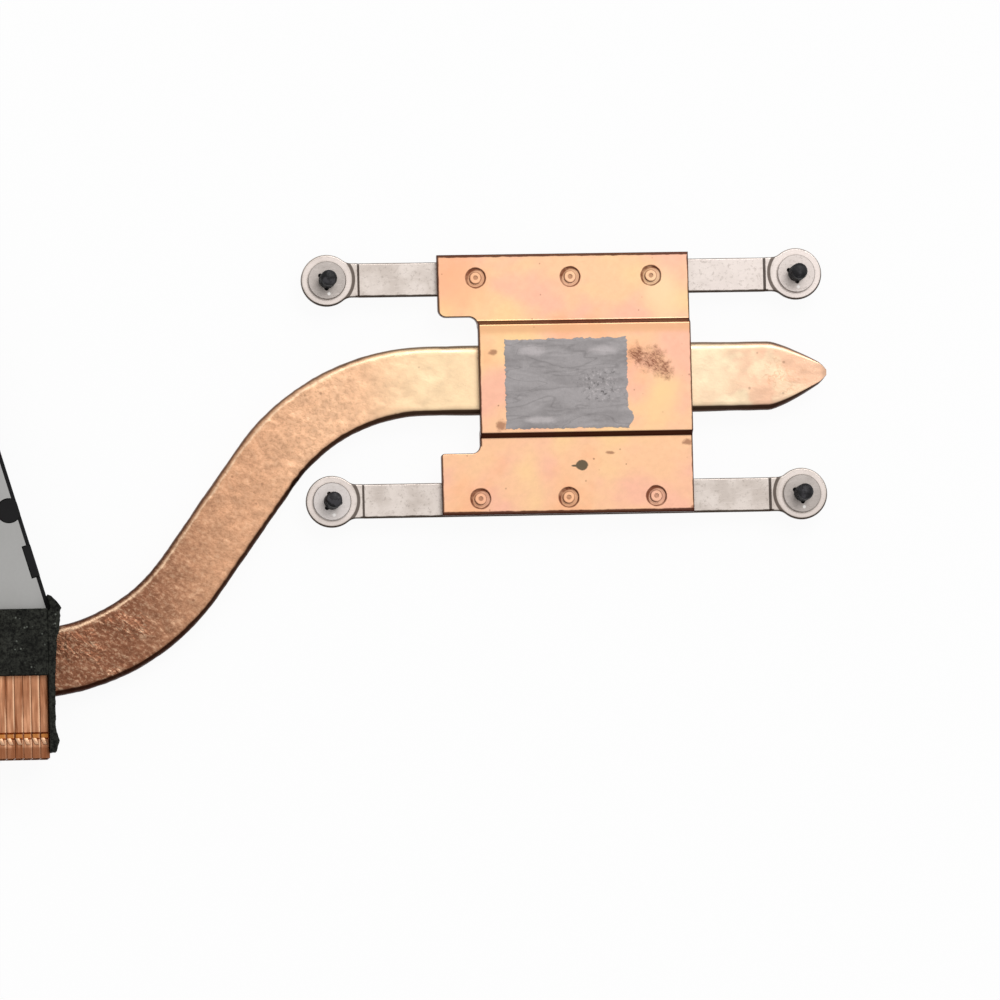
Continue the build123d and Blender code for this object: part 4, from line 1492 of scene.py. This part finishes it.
@dataclass
class FoamStrip:
    """Strip of open-cell foam, torn a little along its edges."""

    name: str
    nodes: str
    low: Place
    high: Place
    cell: float = 0.3
    edge_r: float = 0.18
    torn: tuple[float, float] = (0.9, 0.24)
    pores: tuple[float, float] = (0.35, 0.1)
    fill: float = 0.75

    def build(self, material: bpy.types.Material) -> bpy.types.Object:
        """Model the strip.

        Args:
            material: the foam's finish.

        Returns:
            The strip.
        """
        size = [high - low for low, high in zip(self.low, self.high)]
        centre = [(low + high) / 2 for low, high in zip(self.low, self.high)]
        strip = Bench.start("cube", self.name, tuple(size), size=MM, location=Vector(centre) * MM)
        Bench.edit(strip, "EDGE")
        bpy.ops.mesh.select_all(action="SELECT")
        bpy.ops.mesh.bevel(offset=self.edge_r * MM, segments=2, affect="EDGES")
        for axis in range(3):
            Bench.pick(strip, lambda p, axis=axis: abs(p[axis] - centre[axis]) < 2 * NEAR, "edges")
            bpy.ops.mesh.subdivide(number_cuts=min(100, max(1, round(size[axis] / self.cell))))
        Bench.clear()
        self.bend(strip)
        Bench.outward(strip, 0.0001)
        Bench.weigh(strip, "open", self.open)
        Bench.relief(strip, Relief.CLOUDS, *self.torn, group="open", level=0.9)
        Bench.relief(strip, Relief.NOISE, *self.pores, group="open")
        Bench.smooth(strip, 60)
        dress(strip, material)
        seat(strip, "module", [self.nodes])
        return strip

    def bend(self, strip: bpy.types.Object) -> None:
        """Leave a flat strip as it is."""

    def open(self, point: Vector) -> float:
        """How freely the foam is torn here: not at all where it lies on the fins and the other strip."""
        return min(1.0, max(0.0, point.z - self.low[2] - 0.05) / 0.2, max(0.0, self.high[0] - point.x) / 0.3)


@dataclass
class CornerFoam(FoamStrip):
    """Foam on the end of the fins, bent round onto the blower's leaning wall."""

    foot_y: float = -26.0
    slope: float = 0.268
    turn_over: float = 0.4
    corner_x: float = -62.262
    widths: tuple[tuple[float, float], ...] = (
        (-42.7, 0.9), (-41.4, 1.25), (-39.6, 0.85), (-34.0, 0.9), (-29.5, 1.2), (-27.6, 1.6), (-26.0, 1.62),
        (-25.0, 1.15), (-24.0, 0.6))

    def inner(self, y: float) -> float:
        """Where the strip is stuck on.

        Args:
            y: place along the strip.

        Returns:
            Its stuck side in x.
        """
        if y <= self.foot_y:
            return self.low[0]
        slide = self.corner_x - self.slope * (y - self.foot_y)
        return self.low[0] + (slide - self.low[0]) * min(1.0, (y - self.foot_y) / self.turn_over)

    def width(self, y: float) -> float:
        """Thickness of the strip.

        Args:
            y: place along the strip.

        Returns:
            The thickness there.
        """
        for (start, first), (end, last) in zip(self.widths, self.widths[1:]):
            if y <= end:
                share = max(0.0, (y - start) / (end - start))
                return first + (last - first) * share * share * (3 - 2 * share)
        return self.widths[-1][1]

    def open(self, point: Vector) -> float:
        """How freely the foam is torn here: not at all on its stuck side."""
        return min(1.0, max(0.0, point.x - self.inner(point.y) - 0.1) / 0.3)

    def bend(self, strip: bpy.types.Object) -> None:
        """Bend the straight strip round the corner and let it bulge.

        Args:
            strip: the straight strip.
        """
        thick = self.high[0] - self.low[0]
        for vertex in strip.data.vertices:
            x, y = vertex.co.x / MM, vertex.co.y / MM
            vertex.co.x = (self.inner(y) + (x - self.low[0]) / thick * self.width(y)) * MM


@dataclass
class CaptiveScrew:
    """Black machine screw, thread upwards."""

    corner: Corner
    head_r: float = 1.9
    head_low: float = -4.15
    head_high: float = -3.25
    head_round: float = 0.25
    head_dip: float = 0.07
    cross: Place = (2.2, 0.5, 1.0)
    shank_r: float = 0.8
    thread_r: float = 1.0
    thread_low: float = -1.21
    tip: float = 1.77
    point: float = 0.3
    pitch: float = 0.4
    depth: float = 0.16
    sides: int = 32

    def build(self, material: bpy.types.Material) -> bpy.types.Object:
        """Model the screw.

        Args:
            material: its finish.

        Returns:
            The screw.
        """
        name = self.corner.name.lower()
        place = self.corner.value
        screw = self.lathe(f"screw_threaded_{name}", place)
        self.recess(screw, place)
        self.cut_thread(screw, place)
        Bench.smooth(screw, 32)
        dress(screw, material)
        seat(screw, f"screw_{name}", [f"captive_screw_{name}"])
        return screw

    def lathe(self, name: str, place: tuple[float, float]) -> bpy.types.Object:
        """Raise head, shank, thread blank and point from a circle.

        Args:
            name: the screw's name.
            place: its axis in x and y.

        Returns:
            The blank.
        """
        steps = [(self.head_r - self.head_round, self.head_low),
                 (self.head_r - self.head_dip, self.head_low + self.head_dip),
                 (self.head_r, self.head_low + self.head_round), (self.head_r, self.head_high),
                 (self.shank_r, self.head_high), (self.shank_r, self.thread_low),
                 (self.thread_r, self.thread_low)]
        rings = round((self.tip - self.point - self.thread_low) / (self.pitch / 8))
        rise = (self.tip - self.point - self.thread_low) / rings
        steps += [(self.thread_r, self.thread_low + rise * (i + 1)) for i in range(rings)]
        steps += [(self.thread_r - 0.12, self.tip - 0.14), (self.thread_r - 0.35, self.tip)]
        radius, level = steps[0]
        blank = Bench.start("circle", name, vertices=self.sides, radius=radius * MM, fill_type="NGON",
                            location=(place[0] * MM, place[1] * MM, level * MM))
        Bench.edit(blank, "FACE")
        bpy.ops.mesh.select_all(action="SELECT")
        for new_radius, new_level in steps[1:]:
            rise = (new_level - level) * MM
            bpy.ops.mesh.extrude_region_move(TRANSFORM_OT_translate={"value": (0, 0, rise)})
            if abs(new_radius - radius) > 1e-6:
                grow = new_radius / radius
                bpy.ops.transform.resize(value=(grow, grow, 1), center_override=(
                    place[0] * MM, place[1] * MM, new_level * MM))
            radius, level = new_radius, new_level
        bpy.ops.mesh.select_all(action="SELECT")
        bpy.ops.mesh.normals_make_consistent(inside=False)
        Bench.clear()
        return blank

    def recess(self, screw: bpy.types.Object, place: tuple[float, float]) -> None:
        """Cut the cross recess into the head.

        Args:
            screw: the blank.
            place: its axis in x and y.
        """
        for turn in (0, 90):
            cutter = Bench.start("cube", "cross_cutter", self.cross, size=MM,
                                 location=(place[0] * MM, place[1] * MM, self.head_low * MM),
                                 rotation=(0, 0, math.radians(turn)))
            Bench.apply(screw, "BOOLEAN", operation="DIFFERENCE", object=cutter, solver="EXACT")
            bpy.data.objects.remove(cutter)

    def cut_thread(self, screw: bpy.types.Object, place: tuple[float, float]) -> None:
        """Press the helix of the thread into the blank.

        Args:
            screw: the blank.
            place: its axis in x and y.
        """
        for vertex in screw.data.vertices:
            x, y, z = vertex.co / MM
            reach = math.hypot(x - place[0], y - place[1])
            if reach < self.thread_r - 0.05 or z < self.thread_low + 0.05 or z > self.tip - 0.25:
                continue
            turn = (z / self.pitch - math.atan2(y - place[1], x - place[0]) / math.tau) % 1.0
            ends = min(1.0, (z - self.thread_low) / 0.3, (self.tip - 0.2 - z) / 0.3)
            shrink = 1 - self.depth * ends * min(1.0, max(0.0, abs(2 * turn - 1) * 1.5 - 0.3)) / reach
            vertex.co.x = (place[0] + (x - place[0]) * shrink) * MM
            vertex.co.y = (place[1] + (y - place[1]) * shrink) * MM


@dataclass
class Retainers:
    """Spring bars with their washers and captive screws."""

    bars: PlatedSteel = PlatedSteel("nickel_bars", eyes=EYES)
    washer: PlatedSteel = PlatedSteel("washer_grey", srgb(196, 187, 181), srgb(182, 173, 167),
                                      srgb(156, 146, 139), line=0.3, glints=EYES)
    # Lower-left washer: a lighter copy of the washer finish, painted light.
    pale: PlatedSteel = PlatedSteel("washer_painted_lit", srgb(222, 214, 210), srgb(212, 204, 200),
                                    srgb(186, 177, 170), line=0.3, glints=EYES)
    painted_lit_corner: Corner = Corner.LL
    oxide: BlackOxide = BlackOxide()

    def build(self) -> None:
        """Dress the bars and washers and model the screws."""
        dress_nodes(("spring_bar_upper", "spring_bar_lower"), self.bars.make())
        washer, pale, oxide = self.washer.make(), self.pale.make(), self.oxide.make()
        for corner in Corner:
            name = f"retaining_washer_{corner.name.lower()}"
            dress_nodes((name,), pale if corner is self.painted_lit_corner else washer)
            CaptiveScrew(corner).build(oxide)


@dataclass
class Blower:
    """Blower: housing, cover, impeller and motor, all carried over, each group of nodes with its finish."""

    finishes: tuple[tuple[tuple[str, ...], Finish], ...] = (
        (("fan_housing",), MouldedPlastic("housing_black", srgb(14, 13, 14), srgb(24, 23, 24), gloss=0.16)),
        (("impeller",), MouldedPlastic("impeller_black", srgb(24, 24, 26), srgb(36, 36, 38))),
        (("fan_cover",), SheetCover()),
        (("rotor_yoke", "fan_shaft"),
         TurnedMetal("motor_steel", srgb(168, 168, 170), srgb(190, 190, 192), 0.3)),
        (("stator_core",),
         TurnedMetal("stator_steel", srgb(124, 126, 130), srgb(146, 148, 152), 0.45, lines=(1, 1, 14))),
        (("bearing_tube", "bearing_sleeve"),
         TurnedMetal("bearing_bronze", srgb(188, 152, 92), srgb(208, 174, 116), 0.42)),
        (("rotor_magnet",), TurnedMetal("magnet_dark", srgb(52, 50, 52), srgb(68, 66, 68), 0.6, 0.0)),
        (("thrust_pad", "shaft_clip", "stator_insulator_lower", "stator_insulator_upper"),
         MouldedPlastic("pad_white", srgb(216, 213, 204), srgb(230, 227, 219), 0.5)),
        (tuple(f"stator_coil_{number}" for number in range(1, 7)),
         TurnedMetal("coil_enamel", srgb(164, 80, 40), srgb(196, 108, 60), 0.34, 0.7, (1, 1, 9), 0.03)),
        (("motor_board",), MouldedPlastic("board_green", srgb(24, 76, 46), srgb(34, 96, 60), 0.4)),
        (("driver_chip",), MouldedPlastic("chip_black", srgb(26, 26, 28), srgb(36, 36, 38), 0.6, 8.0)))

    def build(self) -> None:
        """Dress every piece."""
        for names, finish in self.finishes:
            dress_nodes(names, finish.make())


@dataclass
class Seals:
    """The two foam strips that seal the outlet."""

    outlet_low: Place = (-125.76, -33.6, 3.0)
    outlet_high: Place = (-62.76, -25.55, 4.2)
    corner_low: Place = (-62.76, -42.7, -1.13)
    corner_high: Place = (-61.56, -24.0, 4.2)
    finish: Foam = Foam()

    def build(self) -> None:
        """Model both strips."""
        foam = self.finish.make()
        FoamStrip("foam_outlet", "outlet_foam", self.outlet_low, self.outlet_high).build(foam)
        CornerFoam("foam_corner", "side_foam", self.corner_low, self.corner_high).build(foam)


@dataclass
class Studio:
    """Pale floor, soft light and the camera.

    Places and sizes are in metres, the floor's height, the lens and the sensor in millimetres, and the
    tilt in degrees.
    """

    floor_z: float = -4.65
    floor_size: float = 6.0
    floor_tone: float = 0.96
    eye: Place = (-0.10998, -0.07961, 0.97835)
    tilt: Place = (3.989, -5.837, -1.412)
    lens: float = 297.26
    sensor: float = 36.0
    glow_share: float = 0.93
    sky_slope: tuple[float, float] = (0.55, 0.8)
    sky_range: tuple[float, float] = (-0.4, 0.85)
    sky_light: tuple[float, float] = (0.3, 0.8)
    lamp_place: Place = (0.25, 0.55, 0.9)
    lamp_size: float = 0.6
    lamp_power: float = 3.0
    aim: Place = (-0.04, 0, 0)

    @staticmethod
    def sum(tree: bpy.types.NodeTree, operation: str, first: object, second: object) -> Socket:
        """Add a number node.

        Args:
            tree: the tree that it goes to.
            operation: the operation's name.
            first: socket or number.
            second: socket or number.

        Returns:
            The result.
        """
        made = tree.nodes.new("ShaderNodeMath")
        made.operation = operation
        for target, value in zip(made.inputs, (first, second)):
            if isinstance(value, Socket):
                tree.links.new(value, target)
            else:
                target.default_value = value
        return made.outputs[0]

    def build(self) -> None:
        """Set up floor, lamp, world and camera."""
        self.floor()
        self.world()
        self.lamp("key_softbox")
        self.camera()
        bpy.context.scene.view_settings.view_transform = "Standard"

    def floor(self) -> None:
        """Pale floor: white to the camera and to gloss, with the module's shadow."""
        Bench.clear()
        bpy.ops.mesh.primitive_plane_add(size=self.floor_size, location=(0, 0, self.floor_z * MM))
        ground = bpy.context.object
        ground.name = "studio_floor"
        material = bpy.data.materials.new("floor_pale")
        material.use_nodes = True
        tree = material.node_tree
        tree.nodes.clear()
        rays = tree.nodes.new("ShaderNodeLightPath").outputs
        seen = self.sum(tree, "MAXIMUM", rays["Is Camera Ray"], rays["Is Glossy Ray"])
        seen = self.sum(tree, "MAXIMUM", seen, rays["Is Transmission Ray"])
        matt = tree.nodes.new("ShaderNodeBsdfDiffuse")
        matt.inputs["Color"].default_value = (self.floor_tone, self.floor_tone, self.floor_tone, 1)
        glow = tree.nodes.new("ShaderNodeEmission")
        glow.inputs["Color"].default_value = (1, 1, 1, 1)
        glow.inputs["Strength"].default_value = 1.0
        blend = tree.nodes.new("ShaderNodeMixShader")
        out = tree.nodes.new("ShaderNodeOutputMaterial")
        tree.links.new(self.sum(tree, "MULTIPLY", seen, self.glow_share), blend.inputs[0])
        tree.links.new(matt.outputs[0], blend.inputs[1])
        tree.links.new(glow.outputs[0], blend.inputs[2])
        tree.links.new(blend.outputs[0], out.inputs[0])
        ground.data.materials.append(material)

    def world(self) -> None:
        """Soft studio light from all round, brightest above and behind."""
        world = bpy.data.worlds.new("studio")
        bpy.context.scene.world = world
        world.use_nodes = True
        tree = world.node_tree
        place = tree.nodes.new("ShaderNodeTexCoord")
        parts = tree.nodes.new("ShaderNodeSeparateXYZ")
        tree.links.new(place.outputs["Generated"], parts.inputs[0])
        behind, above = self.sky_slope
        slope = self.sum(tree, "ADD", self.sum(tree, "MULTIPLY", parts.outputs[1], behind),
                         self.sum(tree, "MULTIPLY", parts.outputs[2], above))
        level = tree.nodes.new("ShaderNodeMapRange")
        for number, value in enumerate((*self.sky_range, *self.sky_light), 1):
            level.inputs[number].default_value = value
        tree.links.new(slope, level.inputs[0])
        light = tree.nodes["Background"]
        light.inputs["Color"].default_value = (1, 1, 1, 1)
        tree.links.new(level.outputs[0], light.inputs["Strength"])

    def lamp(self, name: str) -> None:
        """Hang the square area lamp so that it looks at the module.

        Args:
            name: its name.
        """
        light = bpy.data.lights.new(name, "AREA")
        light.size = self.lamp_size
        light.energy = self.lamp_power
        holder = bpy.data.objects.new(name, light)
        bpy.context.scene.collection.objects.link(holder)
        holder.location = self.lamp_place
        aim = Vector(self.aim) - Vector(self.lamp_place)
        holder.rotation_euler = aim.to_track_quat("-Z", "Y").to_euler()

    def camera(self) -> None:
        """Place the camera where the photograph was taken from."""
        data = bpy.data.cameras.new("photo_camera")
        data.lens = self.lens
        data.sensor_width = self.sensor
        data.clip_end = 20.0
        holder = bpy.data.objects.new("photo_camera", data)
        bpy.context.scene.collection.objects.link(holder)
        holder.location = self.eye
        holder.rotation_euler = [math.radians(angle) for angle in self.tilt]
        bpy.context.scene.camera = holder


def main() -> None:
    """Build the studio, then each sub-assembly in order."""
    logging.basicConfig(level=logging.INFO, format="%(name)s: %(message)s", stream=sys.stdout)
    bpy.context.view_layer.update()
    for assembly in (Studio(), HeatPipe(), ColdPlate(), Retainers(), FoldedFins(), Blower(), Seals()):
        assembly.build()
        LOG.info("%s: built", type(assembly).__name__)


if __name__ == "__main__":
    main()
